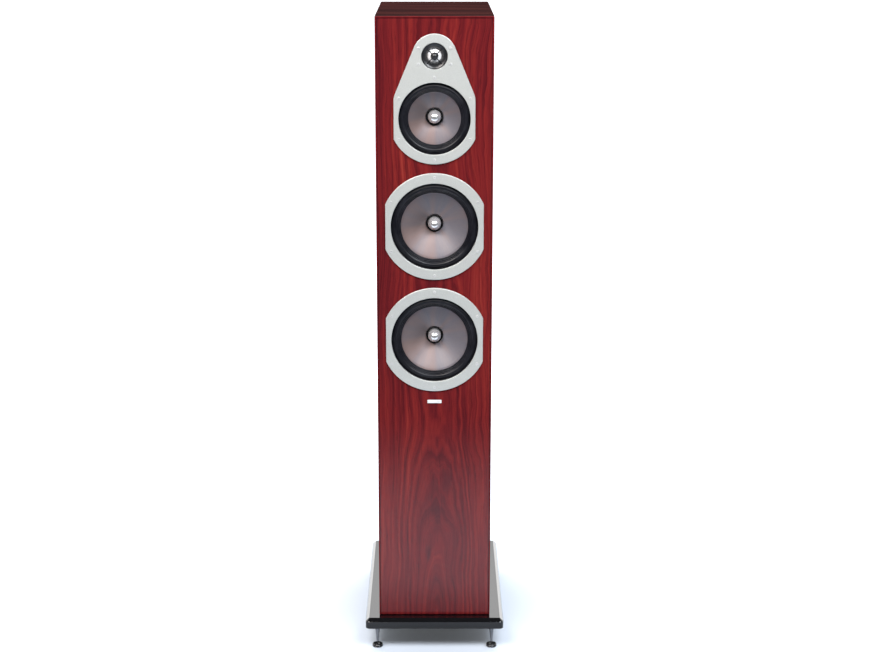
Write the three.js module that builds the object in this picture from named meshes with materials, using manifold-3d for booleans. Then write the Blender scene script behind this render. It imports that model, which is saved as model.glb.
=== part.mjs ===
// Three-way floorstanding loudspeaker on a plinth with four adjustable spiked feet.
// Millimetres, +Z up. The front faces -Y, and the origin is on the floor under the plinth's centre.
import * as THREE from "three";
import { mergeVertices } from "three/addons/utils/BufferGeometryUtils.js";
import Module from "manifold-3d";

const wasm = await Module();
wasm.setup();

// ---------- driving dimensions ----------

const GAP = 0.3; // between pieces that touch

const CABINET = { width: 210, depth: 386, height: 1128, baffle: 22, wall: 18, frontY: -184 };
const PLINTH = { width: 262, depth: 408, thickness: 20, bevel: 6.5, cornerRadius: 8, clearance: 45 };
const FOOT = { inset: 22, discRadius: 10, discHeight: 6, studRadius: 4, studLength: 15, holeRadius: 4.6 };
const PLATE_THICKNESS = 3;

const CABINET_BOTTOM = PLINTH.clearance + PLINTH.thickness;
const CABINET_TOP = CABINET_BOTTOM + CABINET.height;
const CABINET_BACK = CABINET.frontY + CABINET.depth;
const INNER_HALF_WIDTH = CABINET.width / 2 - CABINET.wall;
const STUD_TOP = PLINTH.clearance + FOOT.studLength;

// Heights of the drivers' centres above the floor.
const TWEETER_Z = CABINET_TOP - 69;
const MIDRANGE_Z = CABINET_TOP - 179.3;
const WOOFER_Z = [CABINET_TOP - 373.8, CABINET_TOP - 584.1];
const BADGE_Z = CABINET_TOP - 702;
const BADGE = { halfWidth: 13, halfHeight: 3, thickness: 1.5 };

// Boards across the inside. A brace has two windows, one on either side of its middle.
const SHELF_Z = MIDRANGE_Z - 92;
const UPPER_BRACE_Z = (WOOFER_Z[0] + WOOFER_Z[1]) / 2;
const LOWER_BRACE_Z = BADGE_Z - 50;
const BRACE_WINDOW = { halfWidth: 52, near: 25, far: 135 };

// Depths (d) are measured inwards from the baffle's front face, radii (r) from the driver's axis.
const WOOFER = {
  openingRadius: 78.75, // inside edge of the silver flange
  wall: 3.2,
  cutoutRadius: 84, // hole in the baffle
  coneRadius: 61,
  coneDepth: 8, // where the cone's outer edge sits
  neckRadius: 16.4,
  neckDepth: 36,
  barrelDepth: 12, // where the basket's straight barrel turns into its cone
  shoulderRadius: 64,
  shoulderDepth: 44, // ledge that carries the spider
  backRadius: 53,
  backDepth: 62,
  magnetRadius: 48,
  magnetThickness: 18,
  plugTipDepth: 16,
  plugShoulderDepth: 33,
  segments: 24,
};
const MIDRANGE = {
  openingRadius: 64,
  wall: 3,
  cutoutRadius: 68.5,
  coneRadius: 47.25,
  coneDepth: 7,
  neckRadius: 16.4,
  neckDepth: 30,
  barrelDepth: 11,
  shoulderRadius: 52,
  shoulderDepth: 35,
  backRadius: 43,
  backDepth: 50,
  magnetRadius: 40,
  magnetThickness: 15,
  plugTipDepth: 12,
  plugShoulderDepth: 28,
  segments: 24,
};
const WOOFER_FLANGE = { radius: 97.5, halfWidth: 88.5 };
const MIDRANGE_RIM = { radius: 70.4, thickness: 3.4, rebateRadius: 71.2, rebateDepth: 4 };
const COIL = { innerRadius: 15, outerRadius: 15.6, windingRadius: 16.5 };
const POLE_RADIUS = 14;
const PLUG_RADIUS = 12.3;
const SUSPENSION_THICKNESS = 0.8;
const SURROUND_LIP_DEPTH = 3.9;
const BASKET = { ledgeWidth: 4.2, ledgeFront: 5, ledgeBack: 7.6, shoulderHeight: 6, throatRadius: 21 };

const TWEETER = {
  plateHoleRadius: 23.2,
  bodyRadius: 22.8,
  bodyFront: 5, // depth where the waveguide ends and the motor starts
  bodyBack: 24,
  cutoutRadius: 25,
  throatRadius: 14,
  domeRadius: 12.6,
  bulletRadius: 6.8,
};
const TEARDROP = { topRadius: 39.2, halfWidth: 72.5, shoulderRise: 38, bottomRadius: 81 };

const PORT = { z: 330, innerRadius: 32, wall: 2.5, flareRadius: 46, length: 150 };
const PORT_LIP = { thickness: 4.5, curveRadius: 9 };
const TERMINAL = { z: 190, width: 92, height: 72, recess: 40, wall: 3, flange: 9, proud: 1.6 };
const POST = {
  spacing: 38,
  studRadius: 2.8,
  studLength: 27,
  studTail: 12, // behind the cup's floor
  washerRadius: 5.5,
  collarThickness: 3,
  washerThickness: 2,
  knobRadius: 7.5,
  knobLength: 15,
  knobBevel: 1.5,
};

const CROSSOVER = {
  z: 550,
  halfWidth: 70,
  halfHeight: 70,
  thickness: 2.5,
  standoff: 5,
  spacerHalfHeight: 8,
  // x, z and half size
  components: [[-45, -40, 16], [-5, -35, 18], [40, -45, 14], [-35, 25, 18], [20, 30, 20]],
};

// ---------- solids ----------

// A closed three.js geometry as a solid that can be joined and cut.
function solid(geometry) {
  const bare = geometry.clone();
  bare.deleteAttribute("normal");
  bare.deleteAttribute("uv");
  const merged = mergeVertices(bare, 1e-4);
  const vertProperties = new Float32Array(merged.attributes.position.array);
  const triVerts = new Uint32Array(merged.index.array);
  return new wasm.Manifold(new wasm.Mesh({ numProp: 3, vertProperties, triVerts }));
}

// The same solid as a three.js geometry again.
function geometryOf(manifold) {
  const { vertProperties, triVerts } = manifold.getMesh();
  const geometry = new THREE.BufferGeometry();
  geometry.setAttribute("position", new THREE.BufferAttribute(vertProperties, 3));
  geometry.setIndex(new THREE.BufferAttribute(triVerts, 1));
  geometry.computeVertexNormals();
  return geometry;
}

const join = (first, ...rest) => geometryOf(rest.reduce((all, g) => all.add(solid(g)), solid(first)));
const cut = (first, ...tools) => geometryOf(tools.reduce((all, g) => all.subtract(solid(g)), solid(first)));
const common = (first, second) => geometryOf(solid(first).intersect(solid(second)));

// A box between two corners.
function block(low, high) {
  const size = high.map((value, axis) => value - low[axis]);
  const middle = high.map((value, axis) => (value + low[axis]) / 2);
  return new THREE.BoxGeometry(...size).translate(...middle);
}

// A solid of revolution about the Y axis. The profile's points are [radius, y]; one that starts and
// ends on the axis stays as it is, and any other is closed on itself.
function turned(profile, segments) {
  const onAxis = profile[0][0] === 0 && profile.at(-1)[0] === 0;
  const loop = onAxis ? [...profile] : [...profile, profile[0]];
  const area = loop.reduce((sum, [r, y], i) => {
    const [nextR, nextY] = loop[(i + 1) % loop.length];
    return sum + r * nextY - nextR * y;
  }, 0);
  if (area < 0) loop.reverse();
  return new THREE.LatheGeometry(loop.map(([r, y]) => new THREE.Vector2(r, y)), segments);
}

// A driver's solid of revolution: the profile's points are [radius, depth behind the baffle's face].
function driverPart(profile, centreZ, segments) {
  return turned(profile, segments).translate(0, CABINET.frontY, centreZ);
}

// A solid of revolution about a vertical axis through (x, y). The profile's points are [radius, z].
function upright(profile, x, y, segments) {
  return turned(profile, segments).rotateX(Math.PI / 2).translate(x, y, 0);
}

// A sheet of constant thickness along a midline of [radius, depth] points.
function sheet(midline, thickness) {
  const front = midline.map(([r, d]) => [r, d - thickness / 2]);
  const back = midline.map(([r, d]) => [r, d + thickness / 2]);
  return [...front, ...back.reverse()];
}

// An outline drawn in X and Z, extruded forwards from depth `back` to depth `front`.
function facePlate(shape, front, back, centreZ, curveSegments) {
  const options = { depth: back - front, bevelEnabled: false, curveSegments };
  return new THREE.ExtrudeGeometry(shape, options)
    .rotateX(Math.PI / 2)
    .translate(0, CABINET.frontY + back, centreZ);
}

const axialDisc = (radius, front, back, centreZ, segments) =>
  driverPart([[0, front], [radius, front], [radius, back], [0, back]], centreZ, segments);

// ---------- materials ----------

const FINISHES = {
  veneer: { color: 0x8c2a2a, roughness: 0.25, metalness: 0 },
  board: { color: 0xb08a60, roughness: 0.8, metalness: 0 },
  blackGloss: { color: 0x141416, roughness: 0.1, metalness: 0 },
  blackMatt: { color: 0x1c1c1e, roughness: 0.6, metalness: 0 },
  silverPaint: { color: 0xd9dcda, roughness: 0.35, metalness: 0.4 },
  cone: { color: 0x968686, roughness: 0.45, metalness: 0.3 },
  rubber: { color: 0x17181b, roughness: 0.5, metalness: 0 },
  cloth: { color: 0xb59a52, roughness: 0.9, metalness: 0 },
  steel: { color: 0x9c9fa3, roughness: 0.35, metalness: 1 },
  ferrite: { color: 0x2b2b2e, roughness: 0.7, metalness: 0.2 },
  coil: { color: 0xb4672f, roughness: 0.4, metalness: 0.9 },
  aluminium: { color: 0xe2e3e6, roughness: 0.12, metalness: 1 },
  chrome: { color: 0xdfe1e4, roughness: 0.06, metalness: 1 },
  brass: { color: 0xd3a84e, roughness: 0.2, metalness: 1 },
  redPlastic: { color: 0xa01818, roughness: 0.3, metalness: 0 },
  circuit: { color: 0x2a5a3a, roughness: 0.6, metalness: 0 },
};

const speaker = new THREE.Group();

function add(name, geometry, finish) {
  const mesh = new THREE.Mesh(geometry, new THREE.MeshStandardMaterial(FINISHES[finish]));
  mesh.name = name;
  speaker.add(mesh);
}

// ---------- cabinet ----------

function addFrontBaffle() {
  const { width, baffle, frontY } = CABINET;
  const board = block(
    [-width / 2, frontY, CABINET_BOTTOM + GAP],
    [width / 2, frontY + baffle, CABINET_TOP],
  );
  const through = (radius, z, segments) => axialDisc(radius, -1, baffle + 1, z, segments);
  const holes = [
    through(TWEETER.cutoutRadius, TWEETER_Z, 24),
    through(MIDRANGE.cutoutRadius, MIDRANGE_Z, MIDRANGE.segments),
    axialDisc(MIDRANGE_RIM.rebateRadius, -1, MIDRANGE_RIM.rebateDepth, MIDRANGE_Z, MIDRANGE.segments),
    ...WOOFER_Z.map((z) => through(WOOFER.cutoutRadius, z, WOOFER.segments)),
  ];
  add("front_baffle", cut(board, ...holes), "veneer");
}

function addSidePanels() {
  const front = CABINET.frontY + CABINET.baffle + GAP;
  const back = CABINET_BACK - CABINET.wall - GAP;
  const outer = CABINET.width / 2;
  for (const [name, side] of [["left_side_panel", -1], ["right_side_panel", 1]]) {
    const edges = [side * outer, side * INNER_HALF_WIDTH].sort((a, b) => a - b);
    const panel = block(
      [edges[0], front, CABINET_BOTTOM + GAP],
      [edges[1], back, CABINET_TOP - CABINET.wall - GAP],
    );
    add(name, panel, "veneer");
  }
}

function addTopAndBottomPanels() {
  const front = CABINET.frontY + CABINET.baffle + GAP;
  const back = CABINET_BACK - CABINET.wall - GAP;
  const top = block(
    [-CABINET.width / 2, front, CABINET_TOP - CABINET.wall],
    [CABINET.width / 2, back, CABINET_TOP],
  );
  const innerX = INNER_HALF_WIDTH - GAP;
  const bottom = block(
    [-innerX, front, CABINET_BOTTOM + GAP],
    [innerX, back, CABINET_BOTTOM + CABINET.wall],
  );
  add("top_panel", top, "veneer");
  add("bottom_panel", bottom, "board");
}

function addRearPanel() {
  const back = CABINET_BACK;
  const panel = block(
    [-CABINET.width / 2, back - CABINET.wall, CABINET_BOTTOM + GAP],
    [CABINET.width / 2, back, CABINET_TOP],
  );
  const tubeRadius = PORT.innerRadius + PORT.wall + GAP;
  const flareSeat = back - 6.1;
  const portHole = turned(
    [
      [0, back - 30], [tubeRadius, back - 30], [tubeRadius, flareSeat - 2.8],
      [tubeRadius + 6.7, flareSeat], [PORT.flareRadius + GAP, flareSeat],
      [PORT.flareRadius + GAP, back + 1], [0, back + 1],
    ],
    20,
  ).translate(0, 0, PORT.z);
  const halfWidth = TERMINAL.width / 2 + GAP;
  const halfHeight = TERMINAL.height / 2 + GAP;
  const cupHole = block(
    [-halfWidth, back - 30, TERMINAL.z - halfHeight],
    [halfWidth, back + 1, TERMINAL.z + halfHeight],
  );
  add("rear_panel", cut(panel, portHole, cupHole), "veneer");
}

// A shelf that closes off the midrange's own chamber, and two braces with a pair of windows each.
function addShelfAndBraces() {
  const front = CABINET.frontY + CABINET.baffle + GAP;
  const back = CABINET_BACK - CABINET.wall - GAP;
  const innerX = INNER_HALF_WIDTH - GAP;
  const half = CABINET.wall / 2;
  const board = (z) => block([-innerX, front, z - half], [innerX, back, z + half]);
  const middleY = (front + back) / 2;
  const window = (z, side) => {
    const ends = [middleY + side * BRACE_WINDOW.near, middleY + side * BRACE_WINDOW.far];
    return block(
      [-BRACE_WINDOW.halfWidth, Math.min(...ends), z - CABINET.wall],
      [BRACE_WINDOW.halfWidth, Math.max(...ends), z + CABINET.wall],
    );
  };
  add("midrange_shelf", board(SHELF_Z), "board");
  for (const [name, z] of [["upper_brace", UPPER_BRACE_Z], ["lower_brace", LOWER_BRACE_Z]]) {
    add(name, cut(board(z), window(z, -1), window(z, 1)), "board");
  }
}

// ---------- plinth and feet ----------

function roundedRectangle(width, depth, radius) {
  const x = width / 2 - radius;
  const y = depth / 2 - radius;
  const shape = new THREE.Shape();
  shape.absarc(x, y, radius, 0, Math.PI / 2);
  shape.absarc(-x, y, radius, Math.PI / 2, Math.PI);
  shape.absarc(-x, -y, radius, Math.PI, 1.5 * Math.PI);
  shape.absarc(x, -y, radius, 1.5 * Math.PI, 2 * Math.PI);
  return shape;
}

const footPositions = [
  ["front_left", -1, -1],
  ["front_right", 1, -1],
  ["rear_left", -1, 1],
  ["rear_right", 1, 1],
].map(([name, sideX, sideY]) => ({
  name,
  x: sideX * (PLINTH.width / 2 - FOOT.inset),
  y: sideY * (PLINTH.depth / 2 - FOOT.inset),
}));

function addPlinth() {
  const { width, depth, thickness, bevel, cornerRadius, clearance } = PLINTH;
  const outline = roundedRectangle(width - 2 * bevel, depth - 2 * bevel, cornerRadius - bevel);
  const bevelled = new THREE.ExtrudeGeometry(outline, {
    depth: 2 * thickness,
    bevelSize: bevel,
    bevelThickness: bevel,
    bevelSegments: 1,
    curveSegments: 5,
  }).translate(0, 0, clearance - thickness - bevel);
  const slab = block([-width, -depth, clearance], [width, depth, clearance + thickness]);
  const hole = [
    [0, clearance - 1], [FOOT.holeRadius, clearance - 1],
    [FOOT.holeRadius, STUD_TOP + 1], [0, STUD_TOP + 1],
  ];
  const studHoles = footPositions.map(({ x, y }) => upright(hole, x, y, 12));
  add("plinth", cut(common(bevelled, slab), ...studHoles), "blackGloss");
}

// Each foot is a tapered spike whose threaded stud screws up into the plinth, and a loose disc with a
// dimple that takes the spike's tip.
function addFeet() {
  const underside = PLINTH.clearance - GAP;
  const { discRadius, discHeight, studRadius } = FOOT;
  const spike = [
    [0, STUD_TOP], [studRadius, STUD_TOP], [studRadius, underside], [4.9, underside], [4.7, 40],
    [3.2, 26], [2.3, 14], [2, 8.5], [0, 4.4],
  ];
  const disc = [
    [0, 0], [discRadius - 0.8, 0], [discRadius, 0.8], [discRadius, discHeight - 1],
    [discRadius - 1, discHeight], [3.6, discHeight], [0, 3.6],
  ];
  for (const { name, x, y } of footPositions) {
    add(`${name}_spike`, upright(spike, x, y, 10), "chrome");
    add(`${name}_foot_disc`, upright(disc, x, y, 16), "blackGloss");
  }
}

// ---------- cone drivers ----------

// The spider's midline: clamped on the basket's shoulder at its outer edge, cupped forwards to the coil.
function spiderMidline(spec) {
  const outer = spec.shoulderRadius - spec.wall - 1.5;
  const inner = COIL.outerRadius + 1;
  const seat = spec.shoulderDepth + 1.6;
  const cup = 5;
  const folds = 3;
  const points = [[outer, seat]];
  for (let i = 0; i <= folds; i++) {
    const along = i / folds;
    const wave = i === 0 || i === folds ? 0 : i % 2 ? -1.1 : 1.1;
    points.push([outer - 5 - (outer - 5 - inner) * along, seat - cup * along + wave]);
  }
  return points;
}

// The surround's midline: a flat lip on the basket's ledge, then ribs that step down to the cone.
function surroundMidline(spec) {
  const outer = spec.openingRadius - 0.5;
  const lip = outer - 3.2;
  const inner = spec.coneRadius + 0.4;
  const ribs = 2;
  const drop = spec.coneDepth - SURROUND_LIP_DEPTH;
  const points = [[outer, SURROUND_LIP_DEPTH]];
  for (let i = 0; i <= 2 * ribs; i++) {
    const along = i / (2 * ribs);
    const wave = i === 0 || i === 2 * ribs ? 0 : i % 2 ? -1 : 0.8;
    points.push([lip - (lip - inner) * along, SURROUND_LIP_DEPTH + drop * along + wave]);
  }
  return points;
}

// A basket of revolution: barrel, ledge for the surround, cone, shoulder for the spider and back ring.
// Six windows are cut through its conical part.
function basketShell(spec, rim, centreZ) {
  const { openingRadius, wall, barrelDepth, shoulderRadius, shoulderDepth, backRadius, backDepth } = spec;
  const barrelRadius = openingRadius + wall;
  const ledgeRadius = openingRadius - BASKET.ledgeWidth;
  const shoulderBack = shoulderDepth + BASKET.shoulderHeight;
  const shell = driverPart(
    [
      ...rim,
      [barrelRadius, barrelDepth],
      [shoulderRadius, shoulderDepth],
      [shoulderRadius, shoulderBack],
      [backRadius, shoulderBack],
      [backRadius, backDepth],
      [BASKET.throatRadius, backDepth],
      [BASKET.throatRadius, backDepth - wall],
      [backRadius - wall, backDepth - wall],
      [backRadius - wall, shoulderBack - wall],
      [shoulderRadius - wall, shoulderBack - wall],
      [shoulderRadius - wall, shoulderDepth],
      [openingRadius - 2, barrelDepth - 1],
      [ledgeRadius, BASKET.ledgeBack],
      [ledgeRadius, BASKET.ledgeFront],
      [openingRadius, BASKET.ledgeFront],
    ],
    centreZ,
    spec.segments,
  );
  const windowFront = barrelDepth + 12.5;
  const windowBack = shoulderDepth - 3;
  const windows = [];
  for (let i = 0; i < 3; i++) {
    const slot = new THREE.BoxGeometry(400, windowBack - windowFront, shoulderRadius * 0.62)
      .rotateY((i * Math.PI) / 3)
      .translate(0, CABINET.frontY + (windowFront + windowBack) / 2, centreZ);
    windows.push(slot);
  }
  return cut(shell, ...windows);
}

function addWooferBasket(name, centreZ) {
  const { radius, halfWidth } = WOOFER_FLANGE;
  const flatAngle = Math.acos(halfWidth / radius);
  const outline = new THREE.Shape();
  outline.absarc(0, 0, radius, flatAngle, Math.PI - flatAngle);
  outline.absarc(0, 0, radius, Math.PI + flatAngle, 2 * Math.PI - flatAngle);
  const flange = facePlate(outline, -PLATE_THICKNESS - GAP, -GAP, centreZ, 14);
  const opening = axialDisc(WOOFER.openingRadius, -10, 10, centreZ, WOOFER.segments);
  const rim = [[WOOFER.openingRadius, -1], [WOOFER.openingRadius + WOOFER.wall, -1]];
  const shell = basketShell(WOOFER, rim, centreZ);
  add(name, join(cut(flange, opening), shell), "silverPaint");
}

function addMidrangeBasket(centreZ) {
  const { radius, thickness } = MIDRANGE_RIM;
  const front = GAP;
  const rim = [
    [MIDRANGE.openingRadius, front],
    [radius, front],
    [radius, front + thickness],
    [MIDRANGE.openingRadius + MIDRANGE.wall, front + thickness],
  ];
  add("midrange_basket", basketShell(MIDRANGE, rim, centreZ), "blackMatt");
}

// Everything in a cone driver except its basket.
function addConeDriver(name, spec, centreZ) {
  const { coneRadius, coneDepth, neckRadius, neckDepth, backDepth, segments } = spec;
  const piece = (part, profile, finish, sides = segments) =>
    add(`${name}_${part}`, driverPart(profile, centreZ, sides), finish);

  const cone = [
    [coneRadius, coneDepth],
    [coneRadius - 0.36 * (coneRadius - neckRadius), coneDepth + 0.44 * (neckDepth - coneDepth)],
    [neckRadius + 0.28 * (coneRadius - neckRadius), coneDepth + 0.8 * (neckDepth - coneDepth)],
    [neckRadius, neckDepth],
  ];
  piece("surround", sheet(surroundMidline(spec), SUSPENSION_THICKNESS), "rubber");
  piece("cone", sheet(cone, 1), "cone");
  piece("spider", sheet(spiderMidline(spec), SUSPENSION_THICKNESS), "cloth", 16);

  const { innerRadius, outerRadius, windingRadius } = COIL;
  const coilFront = backDepth - 2;
  const coilBack = backDepth + 10;
  const coil = [
    [innerRadius, neckDepth - 2],
    [outerRadius, neckDepth - 2],
    [outerRadius, coilFront],
    [windingRadius, coilFront],
    [windingRadius, coilBack],
    [innerRadius, coilBack],
  ];
  piece("voice_coil", coil, "coil", 14);

  const plateFront = backDepth + GAP;
  const plateBack = plateFront + 6;
  const magnetFront = plateBack + GAP;
  const magnetBack = magnetFront + spec.magnetThickness;
  const yokeFront = magnetBack + GAP;
  const yokeBack = yokeFront + 6;
  const gapRadius = windingRadius + 1.2;
  const outer = spec.magnetRadius;
  const ring = (inner, rim, front, back) => [[inner, front], [rim, front], [rim, back], [inner, back]];
  piece("top_plate", ring(gapRadius, outer - 3, plateFront, plateBack), "steel", 18);
  piece("magnet", ring(24, outer, magnetFront, magnetBack), "ferrite", 18);
  const yoke = [
    [0, backDepth - 1], [POLE_RADIUS, backDepth - 1], [POLE_RADIUS, yokeFront],
    [outer - 3, yokeFront], [outer - 3, yokeBack], [0, yokeBack],
  ];
  piece("yoke", yoke, "steel", 18);

  const { plugTipDepth: tip, plugShoulderDepth: shoulder } = spec;
  const length = shoulder - tip;
  const plug = [
    [0, tip],
    [0.38 * PLUG_RADIUS, tip + 0.07 * length],
    [0.7 * PLUG_RADIUS, tip + 0.28 * length],
    [0.91 * PLUG_RADIUS, tip + 0.58 * length],
    [PLUG_RADIUS, shoulder],
    [PLUG_RADIUS, backDepth - 1 - GAP],
    [0, backDepth - 1 - GAP],
  ];
  piece("phase_plug", plug, "aluminium", 16);
}

// ---------- tweeter and its shared plate ----------

// A teardrop: an arc over the tweeter, straight sides down to two shoulders, short vertical flats, and
// an arc about the midrange's centre. The outline's origin is the midrange's centre.
function teardrop() {
  const { topRadius, halfWidth, shoulderRise, bottomRadius } = TEARDROP;
  const topZ = TWEETER_Z - MIDRANGE_Z;
  const reach = Math.hypot(halfWidth, topZ - shoulderRise);
  const toShoulder = Math.atan2(shoulderRise - topZ, halfWidth);
  const tangent = toShoulder + Math.acos(topRadius / reach);
  const lowerCorner = Math.acos(halfWidth / bottomRadius);
  const shape = new THREE.Shape();
  shape.absarc(0, topZ, topRadius, tangent, Math.PI - tangent);
  shape.lineTo(-halfWidth, shoulderRise);
  shape.absarc(0, 0, bottomRadius, Math.PI + lowerCorner, 2 * Math.PI - lowerCorner);
  shape.lineTo(halfWidth, shoulderRise);
  return shape;
}

function addSharedPlate() {
  const plate = facePlate(teardrop(), -PLATE_THICKNESS - GAP, -GAP, MIDRANGE_Z, 16);
  const midrangeHole = axialDisc(MIDRANGE.openingRadius, -10, 10, MIDRANGE_Z, MIDRANGE.segments);
  const tweeterHole = axialDisc(TWEETER.plateHoleRadius, -10, 10, TWEETER_Z, 24);
  add("tweeter_midrange_plate", cut(plate, midrangeHole, tweeterHole), "silverPaint");
}

// The waveguide is one moulding: a funnel, four thin arms and the bullet that they hold over the dome.
function addTweeter() {
  const { bodyRadius, bodyFront, bodyBack, throatRadius, domeRadius, bulletRadius } = TWEETER;
  const funnelProfile = [
    [bodyRadius, -3.5], [21.6, -3.5], [18.6, -2.2], [15.8, 0.6], [throatRadius, 3.4],
    [throatRadius, bodyFront], [bodyRadius, bodyFront],
  ];
  const bulletProfile = [
    [0, -6], [2.6, -5.4], [5.2, -3.6], [bulletRadius, -1.6], [bulletRadius - 0.8, -0.8], [0, -0.8],
  ];
  const funnel = driverPart(funnelProfile, TWEETER_Z, 24);
  const bullet = driverPart(bulletProfile, TWEETER_Z, 12);
  const arms = [-1, 1].map((side) =>
    new THREE.BoxGeometry(38, 1.4, 1.2)
      .rotateY((side * Math.PI) / 4)
      .translate(0, CABINET.frontY - 2.1, TWEETER_Z),
  );
  add("tweeter_waveguide", join(funnel, bullet, ...arms), "blackMatt");

  const dome = [
    [0, 0.8], [6.4, 1.8], [11, 4.4], [domeRadius, 6.2], [domeRadius, 9.5],
    [domeRadius - 0.6, 9.5], [domeRadius - 0.6, 6.4], [10.4, 5], [6.2, 2.5], [0, 1.5],
  ];
  add("tweeter_dome", driverPart(dome, TWEETER_Z, 16), "aluminium");

  const slotInner = domeRadius - 1.6;
  const slotOuter = domeRadius + 1;
  const motor = [
    [0, 6.8], [slotInner - 3.5, 6.8], [slotInner, 8.4], [slotInner, 12], [slotOuter, 12],
    [slotOuter, bodyFront + GAP], [bodyRadius, bodyFront + GAP], [bodyRadius, bodyBack], [0, bodyBack],
  ];
  add("tweeter_motor", driverPart(motor, TWEETER_Z, 16), "ferrite");
}

function addBadge() {
  const { halfWidth, halfHeight, thickness } = BADGE;
  const back = CABINET.frontY - GAP;
  const bar = block(
    [-halfWidth, back - thickness, BADGE_Z - halfHeight],
    [halfWidth, back, BADGE_Z + halfHeight],
  );
  add("badge_bar", bar, "aluminium");
}

// ---------- rear: port, terminals and crossover ----------

function addPort() {
  const { innerRadius, wall, flareRadius, length, z } = PORT;
  const { thickness, curveRadius } = PORT_LIP;
  const mouth = CABINET_BACK - 0.2;
  const tube = [
    [innerRadius, mouth - length], [innerRadius, mouth - 14], [innerRadius + 3, mouth - 6],
    [innerRadius + curveRadius, mouth - 1], [flareRadius, mouth], [flareRadius, mouth - thickness],
    [innerRadius + curveRadius, mouth - 5.4], [innerRadius + wall, mouth - 8],
    [innerRadius + wall, mouth - length],
  ];
  add("rear_port", turned(tube, 20).translate(0, 0, z), "blackMatt");
}

// A recessed cup in the rear panel.
function addTerminalCup(floor) {
  const { width, height, wall, flange, proud, z } = TERMINAL;
  const face = CABINET_BACK + proud;
  const slab = block(
    [-width / 2 - flange, CABINET_BACK + GAP, z - height / 2 - flange],
    [width / 2 + flange, face, z + height / 2 + flange],
  );
  const cup = block([-width / 2, floor - wall, z - height / 2], [width / 2, face, z + height / 2]);
  const hollow = block(
    [-width / 2 + wall, floor, z - height / 2 + wall],
    [width / 2 - wall, face + 1, z + height / 2 - wall],
  );
  const holeRadius = POST.studRadius + GAP;
  const hole = [[0, floor - 10], [holeRadius, floor - 10], [holeRadius, floor + 1], [0, floor + 1]];
  const studHoles = [-1, 1].map((side) => turned(hole, 12).translate((side * POST.spacing) / 2, 0, z));
  add("terminal_cup", cut(join(slab, cup), hollow, ...studHoles), "blackMatt");
}

// A binding post: a threaded stud with a collar, a loose washer and a knurled knob that clamps it.
function addPost(side, x, floor, knobFinish) {
  const { studRadius, studLength, studTail, washerRadius, collarThickness, washerThickness } = POST;
  const { knobRadius, knobLength, knobBevel } = POST;
  const base = floor + GAP;
  const collarBack = base + collarThickness;
  const stud = [
    [0, floor - studTail], [studRadius, floor - studTail], [studRadius, base], [washerRadius, base],
    [washerRadius, collarBack], [studRadius, collarBack],
    [studRadius, base + studLength], [0, base + studLength],
  ];
  const bore = studRadius + GAP;
  const washerFront = collarBack + GAP;
  const washerBack = washerFront + washerThickness;
  const washer = [
    [bore, washerFront], [washerRadius, washerFront],
    [washerRadius, washerBack], [bore, washerBack],
  ];
  const knobFront = washerBack + GAP;
  const knobBack = knobFront + knobLength;
  const knob = [
    [bore, knobFront], [knobRadius, knobFront], [knobRadius, knobBack - knobBevel],
    [knobRadius - knobBevel, knobBack], [bore, knobBack],
  ];
  const piece = (part, profile, finish) =>
    add(`${side}_${part}`, turned(profile, 12).translate(x, 0, TERMINAL.z), finish);
  piece("terminal_stud", stud, "brass");
  piece("clamp_washer", washer, "brass");
  piece("terminal_knob", knob, knobFinish);
}

function addTerminals() {
  const floor = CABINET_BACK + TERMINAL.proud - TERMINAL.recess;
  addTerminalCup(floor);
  addPost("left", -POST.spacing / 2, floor, "blackMatt");
  addPost("right", POST.spacing / 2, floor, "redPlastic");
}

// The filter board on the inside of the rear panel, with its coils and capacitors as plain blocks.
function addCrossover() {
  const back = CABINET_BACK - CABINET.wall - GAP;
  const { z, halfWidth, halfHeight, thickness, standoff, spacerHalfHeight } = CROSSOVER;
  const board = block(
    [-halfWidth, back - standoff - thickness, z - halfHeight],
    [halfWidth, back - standoff, z + halfHeight],
  );
  const spacer = block(
    [-halfWidth, back - standoff - GAP, z - spacerHalfHeight],
    [halfWidth, back, z + spacerHalfHeight],
  );
  const front = back - standoff - thickness;
  const components = CROSSOVER.components.map(([x, dz, half]) =>
    block([x - half, front - 1.2 * half, z + dz - half], [x + half, front + 1, z + dz + half]),
  );
  add("crossover_board", join(board, spacer, ...components), "circuit");
}

// ---------- assembly ----------

addFrontBaffle();
addSidePanels();
addTopAndBottomPanels();
addRearPanel();
addShelfAndBraces();
addPlinth();
addFeet();
WOOFER_Z.forEach((z, i) => {
  const name = ["upper_woofer", "lower_woofer"][i];
  addWooferBasket(`${name}_basket`, z);
  addConeDriver(name, WOOFER, z);
});
addMidrangeBasket(MIDRANGE_Z);
addConeDriver("midrange", MIDRANGE, MIDRANGE_Z);
addSharedPlate();
addTweeter();
addBadge();
addPort();
addTerminals();
addCrossover();

export default speaker;
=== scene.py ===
"""Three-way floorstanding speaker: its visible pieces, finishes, studio and camera."""
import math
from types import SimpleNamespace

import bmesh
import bpy
from mathutils import Matrix, Vector
from mathutils.geometry import tessellate_polygon


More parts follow.
